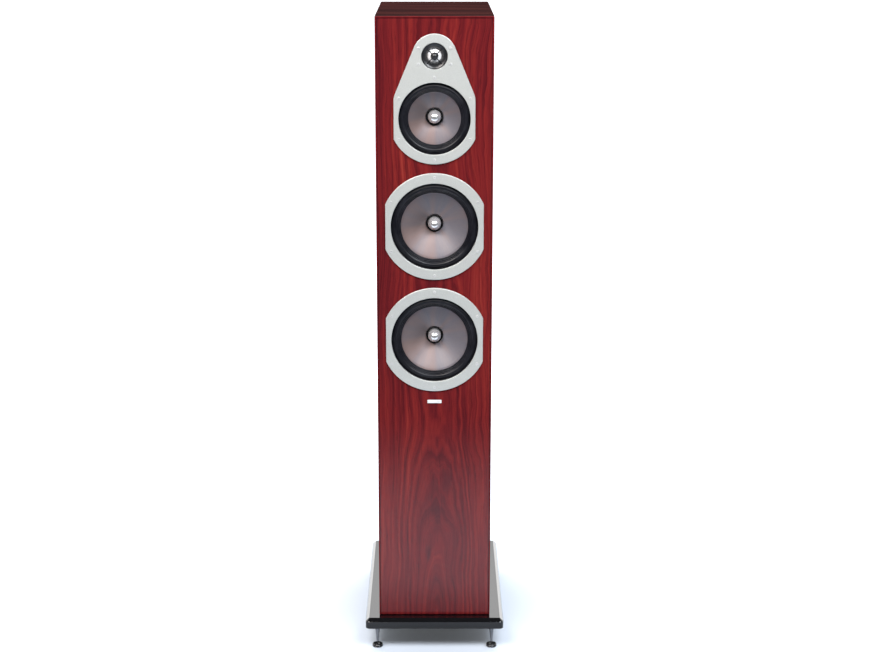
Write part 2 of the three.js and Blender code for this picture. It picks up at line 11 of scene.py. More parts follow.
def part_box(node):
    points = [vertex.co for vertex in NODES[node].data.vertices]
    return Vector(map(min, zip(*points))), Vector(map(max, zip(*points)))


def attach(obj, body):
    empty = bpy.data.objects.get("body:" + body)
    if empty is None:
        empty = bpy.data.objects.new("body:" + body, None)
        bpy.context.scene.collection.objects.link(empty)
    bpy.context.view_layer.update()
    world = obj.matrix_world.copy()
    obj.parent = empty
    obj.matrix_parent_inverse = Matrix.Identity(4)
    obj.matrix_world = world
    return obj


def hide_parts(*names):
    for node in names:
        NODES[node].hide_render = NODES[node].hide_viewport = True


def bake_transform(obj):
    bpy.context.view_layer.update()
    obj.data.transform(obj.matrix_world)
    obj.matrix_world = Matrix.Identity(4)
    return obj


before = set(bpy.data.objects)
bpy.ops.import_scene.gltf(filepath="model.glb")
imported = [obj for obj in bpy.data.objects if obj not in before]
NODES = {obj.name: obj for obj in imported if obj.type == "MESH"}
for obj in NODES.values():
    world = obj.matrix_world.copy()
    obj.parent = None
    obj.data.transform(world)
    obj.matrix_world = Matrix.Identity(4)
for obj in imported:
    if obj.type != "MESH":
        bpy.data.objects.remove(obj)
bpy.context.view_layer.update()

MM = 0.001


# ---------- profiles and outlines, in millimetres ----------


def rounded(points, closed=False, steps=5):
    """A line of (u, v) or (u, v, reach) points whose corners are rounded over their reach."""
    line = []
    count = len(points)
    for i, point in enumerate(points):
        here = Vector(point[:2])
        reach = point[2] if len(point) > 2 else 0
        at_end = not closed and i in (0, count - 1)
        if reach == 0 or at_end:
            line.append(tuple(here))
            continue
        before = Vector(points[i - 1][:2]) - here
        after = Vector(points[(i + 1) % count][:2]) - here
        start = here + before.normalized() * min(reach, before.length / 2)
        end = here + after.normalized() * min(reach, after.length / 2)
        for k in range(steps + 1):
            t = k / steps
            line.append(tuple(start * (1 - t) ** 2 + here * 2 * t * (1 - t) + end * t**2))
    return line


def smooth_line(points, steps=8):
    """A Catmull-Rom curve through the points."""
    line = []
    padded = [points[0], *points, points[-1]]
    for a, b, c, d in zip(padded, padded[1:], padded[2:], padded[3:]):
        for k in range(steps):
            t = k / steps
            line.append(tuple(
                0.5 * (2 * q + (r - p) * t + (2 * p - 5 * q + 4 * r - s) * t**2
                       + (3 * q - p - 3 * r + s) * t**3)
                for p, q, r, s in zip(a, b, c, d)
            ))
    return [*line, tuple(points[-1])]


def thick(midline, thickness):
    """The closed profile of a sheet of constant thickness along a midline."""
    front, back = [], []
    for i, point in enumerate(midline):
        before = Vector(midline[max(i - 1, 0)])
        after = Vector(midline[min(i + 1, len(midline) - 1)])
        along = (after - before).normalized()
        side = Vector((-along.y, along.x)) * thickness / 2
        front.append(tuple(Vector(point) + side))
        back.append(tuple(Vector(point) - side))
    return front + back[::-1]


def circle(radius, centre=(0, 0), sides=96):
    """A circle's points, anticlockwise."""
    angles = [2 * math.pi * k / sides for k in range(sides)]
    return [(centre[0] + radius * math.cos(a), centre[1] + radius * math.sin(a)) for a in angles]


def arc(radius, first, last, centre=(0, 0), steps=24):
    """Points along an arc between two angles."""
    angles = [first + (last - first) * k / steps for k in range(steps + 1)]
    return [(centre[0] + radius * math.cos(a), centre[1] + radius * math.sin(a)) for a in angles]


def rectangle(half_width, half_height, radius, centre=(0, 0), steps=6):
    """A rectangle with round corners, anticlockwise."""
    x, y = half_width - radius, half_height - radius
    points = []
    for k, (side_x, side_y) in enumerate([(1, 1), (-1, 1), (-1, -1), (1, -1)]):
        middle = (centre[0] + side_x * x, centre[1] + side_y * y)
        points += arc(radius, k * math.pi / 2, (k + 1) * math.pi / 2, middle, steps)
    return points


def inset(loop, distance):
    """A loop moved sideways by a distance, to its left where that is positive."""
    moved = []
    for i, point in enumerate(loop):
        here = Vector(point)
        before = (here - Vector(loop[i - 1])).normalized()
        after = (Vector(loop[(i + 1) % len(loop)]) - here).normalized()
        left_before = Vector((-before.y, before.x))
        left_after = Vector((-after.y, after.x))
        mitre = (left_before + left_after) / max(0.3, 1 + left_before.dot(left_after))
        moved.append(tuple(here + mitre * distance))
    return moved


def fillet(radius, steps=5):
    """(inset, rise) pairs up a quarter-round edge, from its side to its face."""
    angles = [math.pi / 2 * k / steps for k in range(steps + 1)]
    return [(radius * (1 - math.cos(a)), radius * math.sin(a)) for a in angles]


# ---------- solids ----------


def driver_frame(centre_x, centre_z, face_y):
    """Local x is to the right, local y is up, and local z is the depth behind a front face, in mm."""
    axes = Matrix(((1, 0, 0, 0), (0, 0, 1, 0), (0, 1, 0, 0), (0, 0, 0, 1)))
    return Matrix.Translation((centre_x, face_y, centre_z)) @ axes @ Matrix.Scale(MM, 4)


def upright_frame(centre_x, centre_y, base_z=0.0):
    """Local x and y lie flat and local z is up, in mm."""
    return Matrix.Translation((centre_x, centre_y, base_z)) @ Matrix.Scale(MM, 4)


def piece(name, mesh, material, sharp=35, weighted=False):
    """A shaded object made of a bmesh."""
    bmesh.ops.remove_doubles(mesh, verts=mesh.verts, dist=1e-7)
    bmesh.ops.recalc_face_normals(mesh, faces=mesh.faces)
    data = bpy.data.meshes.new(name)
    mesh.to_mesh(data)
    mesh.free()
    data.shade_smooth()
    data.set_sharp_from_angle(angle=math.radians(sharp))
    data.materials.append(material)
    made = bpy.data.objects.new(name, data)
    bpy.context.scene.collection.objects.link(made)
    if weighted:
        made.modifiers.new("shading", "WEIGHTED_NORMAL").keep_sharp = True
    return made


def placed(made, body, slot, *nodes):
    """The piece rides on a body and stands for CAD nodes, which it hides. Its slot is not used."""
    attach(made, body)
    if nodes:
        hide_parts(*nodes)
    return made


def lathe_into(mesh, profile, place, sides=96, shape=None):
    """Adds a solid of revolution from (radius, along) points. shape(radius, along, angle) may vary it."""
    angles = [2 * math.pi * k / sides for k in range(sides)]
    rings = []
    for radius, along in profile:
        if radius < 1e-4:
            rings.append([mesh.verts.new(place @ Vector((0, 0, along)))])
            continue
        radii = [shape(radius, along, a) if shape else radius for a in angles]
        rings.append([
            mesh.verts.new(place @ Vector((r * math.cos(a), r * math.sin(a), along)))
            for r, a in zip(radii, angles)
        ])
    on_axis = len(rings[0]) == 1 and len(rings[-1]) == 1
    for i in range(len(rings) - (1 if on_axis else 0)):
        bridge(mesh, rings[i], rings[(i + 1) % len(rings)])


def bridge(mesh, first, second):
    """Faces between two rings of vertices, either of which may be a single point."""
    count = max(len(first), len(second))
    for k in range(count):
        corners = []
        for ring, index in ((first, k), (first, k + 1), (second, k + 1), (second, k)):
            vert = ring[index % len(ring)]
            if vert not in corners:
                corners.append(vert)
        if len(corners) > 2:
            mesh.faces.new(corners)


def turned(name, profile, place, material, sides=96, shape=None, sharp=35):
    mesh = bmesh.new()
    lathe_into(mesh, profile, place, sides, shape)
    return piece(name, mesh, material, sharp)


def bridged_rows(mesh, sections, place):
    """Each section's loops as rings of vertices, with faces from every section to the next."""
    rows = []
    for along, loops in sections:
        rows.append([[mesh.verts.new(place @ Vector((x, y, along))) for x, y in loop] for loop in loops])
    for lower, upper in zip(rows, rows[1:]):
        for first, second in zip(lower, upper):
            bridge(mesh, first, second)
    return rows


def close_row(mesh, row):
    """A flat face over a row's outer ring, less its holes."""
    flat = [vert for loop in row for vert in loop]
    for triangle in tessellate_polygon([[vert.co for vert in loop] for loop in row]):
        corners = [flat[k] for k in triangle]
        if len(set(corners)) == 3:
            mesh.faces.new(corners)


def loft_into(mesh, sections, place):
    """Adds a solid through sections of (along, [outer loop, hole loops]), with flat faces at its ends."""
    rows = bridged_rows(mesh, sections, place)
    close_row(mesh, rows[0])
    close_row(mesh, rows[-1])


def lofted(name, sections, place, material, sharp=35):
    mesh = bmesh.new()
    loft_into(mesh, sections, place)
    return piece(name, mesh, material, sharp, weighted=True)


def plate_sections(outer, holes, back, front, edge, hole_edge=0.0):
    """Sections of a flat plate from its back to a front with rounded edges. Depths grow backwards."""
    sections = [(back, [outer, *holes])]
    for (side, rise), (hole_side, _) in zip(fillet(edge), fillet(hole_edge)):
        loops = [inset(outer, side), *[inset(hole, hole_side) for hole in holes]]
        sections.append((front + edge - rise, loops))
    return sections


def middle(node):
    low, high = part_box(node)
    return (low + high) / 2


# ---------- materials ----------


class Nodes:
    """Short calls that add nodes to a tree."""

    def __init__(self, tree):
        self.tree = tree

    def node(self, kind, inputs=None, **settings):
        made = self.tree.nodes.new(kind)
        for key, value in settings.items():
            setattr(made, key, value)
        for socket, value in (inputs or {}).items():
            self.feed(made.inputs[socket], value)
        return made

    def feed(self, socket, value):
        if isinstance(value, bpy.types.NodeSocket):
            self.tree.links.new(value, socket)
        else:
            socket.default_value = value

    def math(self, operation, a, b=0.0):
        return self.node("ShaderNodeMath", {0: a, 1: b}, operation=operation).outputs[0]

    def times(self, a, b):
        return self.math("MULTIPLY", a, b)

    def plus(self, a, b):
        return self.math("ADD", a, b)

    def minus(self, a, b):
        return self.math("SUBTRACT", a, b)

    def vector(self, operation, a, b):
        made = self.node("ShaderNodeVectorMath", {0: a, 1: b}, operation=operation)
        return made.outputs["Value" if operation in ("DOT_PRODUCT", "LENGTH") else "Vector"]

    def combine(self, x=0.0, y=0.0, z=0.0):
        return self.node("ShaderNodeCombineXYZ", {0: x, 1: y, 2: z}).outputs[0]

    def split(self, vector):
        return self.node("ShaderNodeSeparateXYZ", {0: vector}).outputs

    def noise(self, vector, scale, detail=2.0, roughness=0.5):
        inputs = {"Vector": vector, "Scale": scale, "Detail": detail, "Roughness": roughness}
        return self.node("ShaderNodeTexNoise", inputs).outputs["Fac"]

    def line_noise(self, value, scale, detail=2.0, roughness=0.5):
        inputs = {"W": value, "Scale": scale, "Detail": detail, "Roughness": roughness}
        return self.node("ShaderNodeTexNoise", inputs, noise_dimensions="1D").outputs["Fac"]

    def span(self, value, low, high, out_low=0.0, out_high=1.0, kind="SMOOTHSTEP"):
        inputs = {"Value": value, "From Min": low, "From Max": high, "To Min": out_low, "To Max": out_high}
        return self.node("ShaderNodeMapRange", inputs, interpolation_type=kind).outputs["Result"]

    def mix(self, factor, a, b):
        made = self.node("ShaderNodeMix", data_type="RGBA")
        colours = [socket for socket in made.inputs if socket.type == "RGBA"]
        self.feed(made.inputs["Factor"], factor)
        for socket, value in zip(colours, (a, b)):
            self.feed(socket, value if isinstance(value, bpy.types.NodeSocket) else (*value, 1.0))
        return next(socket for socket in made.outputs if socket.type == "RGBA")

    def ramp(self, factor, stops):
        made = self.node("ShaderNodeValToRGB", {0: factor})
        elements = made.color_ramp.elements
        while len(elements) < len(stops):
            elements.new(0.5)
        for element, (position, colour) in zip(elements, stops):
            element.position = position
            element.color = (*colour, 1.0)
        return made.outputs["Color"]

    def bump(self, height, distance):
        inputs = {"Height": height, "Distance": distance, "Strength": 1.0}
        return self.node("ShaderNodeBump", inputs).outputs["Normal"]


class Graph(Nodes):
    """A material built by short calls. The constants go on the shader itself."""

    def __init__(self, name, constants):
        self.material = bpy.data.materials.new(name)
        self.material.use_nodes = True
        super().__init__(self.material.node_tree)
        self.shader = self.tree.nodes["Principled BSDF"]
        for socket, value in constants.items():
            self.shader.inputs[socket].default_value = value
        self.place = self.node("ShaderNodeTexCoord").outputs["Object"]

    def finish(self, colour, roughness, normal=None):
        for socket, value in (("Base Color", colour), ("Roughness", roughness), ("Normal", normal)):
            if value is not None:
                self.feed(self.shader.inputs[socket], value)
        return self.material


# Where the flat-sawn figure sits on the front: nested arches about a line near the middle, and the
# small dark eyes of three knots, in metres.
FIGURE_X = -0.004
FIGURE_FOOT = 0.03
FIGURE_TOP = 0.42
RINGS_PER_METRE = 105
KNOTS = [(0.024, 0.335, 0.007), (0.006, 0.268, 0.005), (-0.012, 0.19, 0.004)]


RED_TONES = [
    (0.26, (0.060, 0.0064, 0.0094)),
    (0.40, (0.104, 0.0094, 0.0124)),
    (0.50, (0.143, 0.0124, 0.0140)),
    (0.60, (0.184, 0.0170, 0.0160)),
    (0.76, (0.240, 0.0300, 0.0228)),
]
TOP_TONES = [
    (0.30, (0.010, 0.0050, 0.0054)),
    (0.50, (0.028, 0.0100, 0.0098)),
    (0.72, (0.070, 0.0210, 0.0170)),
]


def veneer(name, across_axis, along_axis, seed, tones, figure_x=FIGURE_X, knots=(), coat=0.8, board=None,
           face_y=0.0):
    """Stained wood veneer under clear lacquer. across_axis and along_axis are directions on the board.

    A board given by its half width, top and face gets the fine dark line where its edge band starts, and a
    painted highlight in lighter red along its eased front edge.
    """
    g = Graph(name, {"Coat Weight": coat, "Coat Roughness": 0.06, "Coat IOR": 1.5,
                     "Specular IOR Level": 0.0})
    across = g.vector("DOT_PRODUCT", g.vector("SUBTRACT", g.place, (0.0, face_y, 0.0)), across_axis)
    along = g.vector("DOT_PRODUCT", g.place, along_axis)

    def stretched(side_ways, side_scale, along_scale, offset=0, detail=2, roughness=0.5):
        point = g.combine(g.times(side_ways, side_scale), g.times(along, along_scale), seed + offset)
        return g.noise(point, 1.0, detail, roughness)

    def swing(value, amount):
        return g.span(value, 0.2, 0.8, -amount, amount, "LINEAR")

    # The board bends the grain slowly along its length, and a little more in places.
    drift = stretched(across, 5, 2.3)
    wander = stretched(across, 26, 8, detail=3)
    sway = g.plus(swing(drift, 0.02), swing(wander, 0.0045))
    side = g.plus(g.minus(across, figure_x), sway)
    depth = g.span(along, FIGURE_FOOT, FIGURE_TOP, 0.002, 0.05, "LINEAR")
    depth = g.plus(depth, swing(wander, 0.006))
    ring = g.math("SQRT", g.plus(g.times(side, side), g.times(depth, depth)))
    broad = g.line_noise(g.plus(ring, seed), 120, 2, 0.55)
    fine = g.line_noise(g.plus(ring, seed + 3), 380, 3, 0.6)
    swayed = g.plus(across, sway)
    streak = stretched(swayed, 190, 4, detail=3, roughness=0.6)
    # The straight streaks fade out inside the arches.
    calm = g.span(g.math("ABSOLUTE", side), 0.02, 0.055, 0.2, 0.46)
    streak = g.times(g.minus(streak, 0.5), calm)
    grain = g.plus(g.times(broad, 0.4), g.times(fine, 0.28))
    grain = g.plus(grain, g.plus(streak, 0.16))
    shade = stretched(swayed, 17, 2.6, offset=5)
    grain = g.plus(grain, g.span(shade, 0.25, 0.75, -0.12, 0.1, "LINEAR"))
    heart = g.span(g.math("ABSOLUTE", side), 0.0, 0.05, 0.035, 0.0)
    grain = g.minus(grain, heart)
    colour = g.ramp(grain, tones)
    # Latewood: a thin dark line that ends each growth ring, stronger in some places than in others.
    waver = swing(wander, 0.002)
    year = g.math("FRACT", g.times(g.plus(ring, waver), RINGS_PER_METRE))
    late = g.times(g.span(year, 0.5, 0.9), g.span(year, 0.92, 1.0, 1.0, 0.0))
    fading = stretched(across, 30, 5, offset=9)
    late = g.times(late, g.span(fading, 0.35, 0.65, 0.12, 0.6))
    colour = g.mix(late, colour, tones[0][1])
    pores = stretched(swayed, 1300, 34, roughness=0.6)
    pore = g.span(pores, 0.56, 0.7, 0.0, 1.0)
    colour = g.mix(g.times(pore, 0.5), colour, (0.03, 0.006, 0.008))
    for x, z, size in knots:
        off_side = g.times(g.minus(across, x), 1 / size)
        off_along = g.times(g.minus(along, z), 1 / (3.2 * size))
        away = g.plus(g.times(off_side, off_side), g.times(off_along, off_along))
        dark = g.span(g.plus(away, g.times(wander, 1.6)), 0.4, 3.4, 0.5, 0.0)
        colour = g.mix(dark, colour, (0.035, 0.007, 0.012))
    if board:
        half_width, top, face = board
        x, y, z = g.split(g.place)
        inwards = g.math("MINIMUM", g.minus(half_width, g.math("ABSOLUTE", x)),
                         g.minus(top, z))
        joint = g.times(g.span(inwards, 0.0022, 0.0028), g.span(inwards, 0.0034, 0.0044, 1.0, 0.0))
        colour = g.mix(g.times(joint, 0.75), colour, (0.02, 0.004, 0.006))
        # Painted highlight: lighter red along the eased front edge, where it catches the light, over an
        # edge band with little lacquer.
        front = g.span(g.math("ABSOLUTE", g.minus(y, face)), 0.0022, 0.003, 1.0, 0.0)
        edging_and_highlight = g.times(g.span(inwards, 0.002, 0.0026, 1.0, 0.0), front)
        colour = g.mix(g.times(edging_and_highlight, 0.5), colour, (0.2, 0.012, 0.018))
        # The top's own veneer laps over the board's upper edge.
        lid = g.span(g.minus(top, z), 0.0001, 0.0007, 1.0, 0.0)
        lap = g.noise(g.combine(g.times(x, 4), g.times(y, 190), seed), 1.0, 3, 0.6)
        colour = g.mix(lid, colour, g.ramp(lap, TOP_TONES))
        bare = g.math("MAXIMUM", edging_and_highlight, lid)
        g.feed(g.shader.inputs["Coat Weight"], g.span(bare, 0.0, 1.0, coat, 0.05))
    rough = g.span(grain, 0.3, 0.7, 0.42, 0.3, "LINEAR")
    normal = g.bump(g.minus(grain, g.times(pore, 0.5)), 0.00005)
    return g.finish(colour, rough, normal)


def fibreboard():
    """Raw board: short pale and dark fibres pressed flat."""
    g = Graph("fibreboard_material", {"Specular IOR Level": 0.3})
    fibres = g.noise(g.vector("MULTIPLY", g.place, (900, 900, 1600)), 1.0, 4, 0.65)
    blotch = g.noise(g.place, 22, 3)
    tones = [(0.3, (0.23, 0.15, 0.09)), (0.55, (0.42, 0.29, 0.18)), (0.75, (0.55, 0.41, 0.27))]
    colour = g.ramp(fibres, tones)
    colour = g.mix(g.span(blotch, 0.3, 0.7, 0, 0.35), colour, (0.33, 0.22, 0.14))
    return g.finish(colour, g.span(fibres, 0.3, 0.7, 0.9, 0.72), g.bump(fibres, 0.00015))


def black_lacquer():
    """Polished black lacquer with fine swirl marks, a little dust and slight orange peel."""
    g = Graph("black_lacquer", {"Coat Weight": 1.0, "Coat Roughness": 0.04, "IOR": 1.5})
    peel = g.noise(g.place, 140, 2)
    dust = g.span(g.noise(g.place, 2600, 1), 0.72, 0.8, 0.0, 0.35)
    colour = g.mix(dust, (0.003, 0.0031, 0.004), (0.03, 0.03, 0.032))
    swirl = g.noise(g.vector("MULTIPLY", g.place, (400, 60, 400)), 1.0, 4, 0.6)
    return g.finish(colour, g.span(swirl, 0.3, 0.7, 0.04, 0.1), g.bump(peel, 0.00003))


def silver_paint():
    """Satin silver paint: fine metal flake over cast aluminium, slightly uneven."""
    g = Graph("silver_paint_material", {"Metallic": 0.42, "Coat Weight": 0.25, "Coat Roughness": 0.3})
    flake = g.node("ShaderNodeTexVoronoi", {"Vector": g.place, "Scale": 2600.0}).outputs["Color"]
    sparkle = g.split(flake)[0]
    cloud = g.noise(g.place, 35, 3)
    colour = g.mix(g.span(sparkle, 0, 1, 0, 1, "LINEAR"), (0.55, 0.57, 0.545), (0.69, 0.71, 0.685))
    colour = g.mix(g.span(cloud, 0.3, 0.7, 0, 0.22), colour, (0.6, 0.62, 0.61))
    skin = g.noise(g.place, 1500, 3, 0.6)
    return g.finish(colour, g.span(sparkle, 0, 1, 0.3, 0.48, "LINEAR"), g.bump(skin, 0.00003))


def plastic(name, dark, light, roughness, grain_depth=0.00006, coat=0.0):
    """Moulded plastic: faint mottled colour and a fine spark-eroded grain."""
    g = Graph(name, {"Coat Weight": coat, "Coat Roughness": 0.08, "IOR": 1.5})
    grain = g.noise(g.place, 1700, 3, 0.6)
    cloud = g.noise(g.place, 60, 3)
    colour = g.mix(g.span(cloud, 0.3, 0.7, 0, 1), dark, light)
    rough = g.span(cloud, 0.3, 0.7, roughness - 0.06, roughness + 0.06, "LINEAR")
    return g.finish(colour, rough, g.bump(grain, grain_depth))


def rubber():
    """Surround rubber: soft sheen, a bloom of grey and a very fine skin."""
    g = Graph("surround_rubber_material", {"Specular IOR Level": 0.25})
    bloom = g.noise(g.place, 45, 4, 0.6)
    skin = g.noise(g.place, 1300, 2)
    colour = g.mix(g.span(bloom, 0.3, 0.75, 0, 1), (0.005, 0.0052, 0.008), (0.012, 0.0125, 0.017))
    return g.finish(colour, g.span(bloom, 0.3, 0.7, 0.3, 0.42), g.bump(skin, 0.00003))


# The angle round each cone at which a painted shade darkens it near the neck.
PAINTED_SHADE_ANGLE = math.radians(168)


def cone_material(name, centre):
    """Fibre composite with a metallic sheen: soft radial sectors with a painted sheen, a painted shade near
    the neck and a fine diagonal weave.
    """
    g = Graph(name, {"Metallic": 0.3, "Anisotropic": 0.45, "Coat Weight": 0.25, "Coat Roughness": 0.3,
                     "Specular IOR Level": 0.6})
    local = g.vector("SUBTRACT", g.place, tuple(centre))
    x, _, z = g.split(local)
    angle = g.math("ARCTAN2", z, x)
    radius = g.math("SQRT", g.plus(g.times(x, x), g.times(z, z)))
    around = g.combine(g.math("COSINE", angle), g.math("SINE", angle), g.times(radius, 5))
    sector = g.noise(around, 1.35, 2, 0.5)
    rays = g.noise(g.combine(g.times(angle, 26), 0.0, g.times(radius, 60)), 1.0, 3, 0.6)
    weave_a = g.math("SINE", g.times(g.plus(x, z), 2600))
    weave_b = g.math("SINE", g.times(g.minus(x, z), 2600))
    weave = g.times(weave_a, weave_b)
    # Warm and cool sectors at random angles round the cone: the cone's own tone and a painted sheen of
    # reflected light together.
    warm = g.mix(g.span(sector, 0.32, 0.68, 0, 1), (0.2, 0.13, 0.117), (0.118, 0.116, 0.142))
    colour = g.mix(g.span(rays, 0.3, 0.7, 0, 0.35), warm, (0.21, 0.175, 0.175))
    # Painted shade: the cone is darkened on one side near the neck, standing in for the dark sector of its
    # reflection.
    painted_shade = g.span(g.math("COSINE", g.minus(angle, PAINTED_SHADE_ANGLE)), 0.55, 1.0, 0.0, 0.62)
    painted_shade = g.times(painted_shade, g.span(radius, 0.018, 0.055, 1.0, 0.25))
    colour = g.mix(painted_shade, colour, (0.05, 0.034, 0.03))
    colour = g.mix(g.span(weave, -0.4, 0.9, 0, 0.16), colour, (0.3, 0.26, 0.26))
    tangent = g.node("ShaderNodeTangent", direction_type="RADIAL", axis="Y").outputs[0]
    g.feed(g.shader.inputs["Tangent"], tangent)
    return g.finish(colour, g.span(rays, 0.3, 0.7, 0.52, 0.62), g.bump(weave, 0.00004))


def metal(name, low, high, roughness, scratch=(900, 900, 900), depth=0.00001, base=1.0, spread=0.06):
    """Metal with fine tool marks or polishing lines, and slight dulling in patches."""
    g = Graph(name, {"Metallic": base})
    marks = g.noise(g.vector("MULTIPLY", g.place, scratch), 1.0, 4, 0.65)
    patch = g.noise(g.place, 55, 3)
    colour = g.mix(g.span(patch, 0.3, 0.7, 0, 1), low, high)
    rough = g.span(marks, 0.3, 0.7, max(0.02, roughness - spread), roughness + spread, "LINEAR")
    return g.finish(colour, rough, g.bump(marks, depth))


def ferrite():
    """Ground ferrite: sooty grey with a faint sparkle and chipped tone."""
    g = Graph("ferrite_material", {"Metallic": 0.2})
    grit = g.noise(g.place, 2100, 4, 0.7)
    blotch = g.noise(g.place, 70, 3)
    colour = g.mix(g.span(blotch, 0.3, 0.7, 0, 1), (0.022, 0.022, 0.024), (0.05, 0.05, 0.055))
    return g.finish(colour, g.span(grit, 0.3, 0.7, 0.5, 0.8), g.bump(grit, 0.0001))


def cloth():
    """Open-weave cloth stiffened with resin."""
    g = Graph("spider_cloth_material", {"Sheen Weight": 0.2})
    x, _, z = g.split(g.vector("MULTIPLY", g.place, (5200, 5200, 5200)))
    threads = g.times(g.math("SINE", x), g.math("SINE", z))
    colour = g.mix(g.span(threads, -0.6, 0.6), (0.30, 0.20, 0.07), (0.58, 0.44, 0.2))
    resin = g.noise(g.place, 90, 3)
    return g.finish(colour, g.span(resin, 0.3, 0.7, 0.55, 0.85), g.bump(threads, 0.0001))


def winding():
    """Fine copper wire wound side by side about the driver's axis."""
    g = Graph("copper_winding", {"Metallic": 1.0, "Coat Weight": 0.5, "Coat Roughness": 0.2})
    turns = g.math("SINE", g.times(g.split(g.place)[1], 2 * math.pi / 0.00035))
    tone = g.noise(g.place, 180, 2)
    colour = g.mix(g.span(tone, 0.3, 0.7), (0.62, 0.24, 0.09), (0.8, 0.38, 0.17))
    return g.finish(colour, g.span(turns, -1, 1, 0.4, 0.2, "LINEAR"), g.bump(turns, 0.0001))


def circuit_board():
    """Glass-fibre board: woven green laminate with lighter tracks under the mask."""
    g = Graph("circuit_board_material", {"Coat Weight": 0.4, "Coat Roughness": 0.15})
    weave = g.noise(g.vector("MULTIPLY", g.place, (1600, 400, 1600)), 1.0, 2)
    x, _, z = g.split(g.place)
    tracks = g.math("MAXIMUM", g.math("SINE", g.times(x, 520)),
                    g.math("SINE", g.times(z, 520)))
    colour = g.mix(g.span(tracks, 0.86, 0.92, 0, 1), (0.02, 0.12, 0.05), (0.05, 0.24, 0.09))
    return g.finish(colour, g.span(weave, 0.3, 0.7, 0.25, 0.45), g.bump(weave, 0.00005))


BAFFLE_LOW, BAFFLE_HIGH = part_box("front_baffle")
TOP_LOW, TOP_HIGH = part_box("top_panel")
REAR_LOW, REAR_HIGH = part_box("rear_panel")
FACE_Y = BAFFLE_LOW.y
BACK_Y = REAR_HIGH.y
FRONT_WOOD = veneer("veneer_front", (1, 0.9, 0), (0, 0, 1), 1.7, RED_TONES, knots=KNOTS,
                    board=(BAFFLE_HIGH.x, BAFFLE_HIGH.z, FACE_Y), face_y=FACE_Y)
SIDE_WOOD = veneer("veneer_sides", (0, 1, 0), (0, 0, 1), 5.1, RED_TONES, figure_x=0.03, coat=0.4)
REAR_WOOD = veneer("veneer_rear", (1, 0.9, 0), (0, 0, 1), 8.3, RED_TONES, figure_x=-0.03, coat=0.4,
                   board=(REAR_HIGH.x, REAR_HIGH.z, BACK_Y), face_y=BACK_Y)
TOP_WOOD = veneer("veneer_top_material", (0, 1, 0.9), (1, 0, 0), 3.9, TOP_TONES, figure_x=0.4, coat=0.07)
BOARD = fibreboard()
LACQUER = black_lacquer()
SILVER = silver_paint()
SCREW_SILVER = metal("screw_material", (0.66, 0.67, 0.67), (0.78, 0.78, 0.78), 0.35, base=0.42)
MOULDING = plastic("black_moulding_material", (0.008, 0.0085, 0.0095), (0.014, 0.014, 0.016), 0.34,
                   0.00002, 0.15)
MATT_BLACK = plastic("black_plastic_material", (0.012, 0.012, 0.013), (0.02, 0.02, 0.022), 0.55)
RED_PLASTIC = plastic("red_plastic_material", (0.36, 0.008, 0.01), (0.5, 0.02, 0.02), 0.25, 0.00003, 0.5)
RUBBER = rubber()
POLISHED = metal("polished_aluminium_material", (0.84, 0.84, 0.86), (0.95, 0.95, 0.96), 0.2, base=0.8)
DOME_METAL = metal("dome_metal_material", (0.96, 0.97, 0.98), (1.0, 1.0, 1.0), 0.24, base=0.0)
BADGE_METAL = metal("badge_metal_material", (0.88, 0.88, 0.88), (0.96, 0.96, 0.96), 0.3,
                    (200, 200, 2500), base=0.25)
STEEL = metal("plated_steel_material", (0.45, 0.46, 0.48), (0.62, 0.62, 0.63), 0.3,
              (500, 500, 500), 0.00002)
CHROME = metal("chrome_material", (0.36, 0.37, 0.39), (0.48, 0.48, 0.5), 0.07, spread=0.03)
BRASS = metal("brass_material", (0.72, 0.48, 0.16), (0.86, 0.62, 0.26), 0.16, spread=0.05)
DISC_BLACK = plastic("foot_disc_material", (0.007, 0.007, 0.008), (0.013, 0.013, 0.014), 0.14, 0.00001, 0.9)
FERRITE = ferrite()
CLOTH = cloth()
WINDING = winding()
CIRCUIT = circuit_board()


# ---------- cabinet ----------

CABINET_MIDDLE_Z = (BAFFLE_LOW.z + BAFFLE_HIGH.z) / 2
EASED = 2.2  # the rounded outer edges of the cabinet
SEAM = 0.5  # the chamfer where two panels meet
MITRE_GAP = 0.15

UPPER = middle("upper_woofer_cone")
LOWER = middle("lower_woofer_cone")
MIDRANGE = middle("midrange_cone")
TWEETER = middle("tweeter_dome")


def build_baffle():
    """The front board: eased outer edges, and a hole for each driver."""
    half_width = (BAFFLE_HIGH.x - BAFFLE_LOW.x) / MM / 2
    half_height = (BAFFLE_HIGH.z - BAFFLE_LOW.z) / MM / 2
    depth = (BAFFLE_HIGH.y - BAFFLE_LOW.y) / MM
    outline = rectangle(half_width, half_height, 1.2, steps=3)

    def holes(midrange_radius):
        spec = [(TWEETER, 25), (MIDRANGE, midrange_radius), (UPPER, 84), (LOWER, 84)]
        return [
            circle(radius, (c.x / MM, (c.z - CABINET_MIDDLE_Z) / MM))[::-1]
            for c, radius in spec
        ]

    sections = [(depth, [inset(outline, SEAM), *holes(68.5)]), (depth - SEAM, [outline, *holes(68.5)])]
    sections += [(4, [outline, *holes(68.5)]), (4, [outline, *holes(71.2)])]
    for side, rise in fillet(EASED, 6):
        sections.append((EASED - rise, [inset(outline, side), *holes(71.2)]))
    place = driver_frame(0, CABINET_MIDDLE_Z, FACE_Y)
    placed(lofted("baffle", sections, place, FRONT_WOOD), "cabinet", "veneer", "front_baffle")


def panel(name, low, high, edges, material, mitred):
    """A board with rounded edges. Its inner side is cut back to a mitre where mitred says so."""
    mesh = bmesh.new()
    bmesh.ops.create_cube(mesh, size=1.0)
    for vert in mesh.verts:
        vert.co = Vector(a + (b - a) * (c + 0.5) for a, b, c in zip(low, high, vert.co))
        mitred(vert.co)
    bmesh.ops.bevel(mesh, geom=mesh.edges[:], offset=edges * MM, segments=3, profile=0.5, affect="EDGES")
    return piece(name, mesh, material, weighted=True)


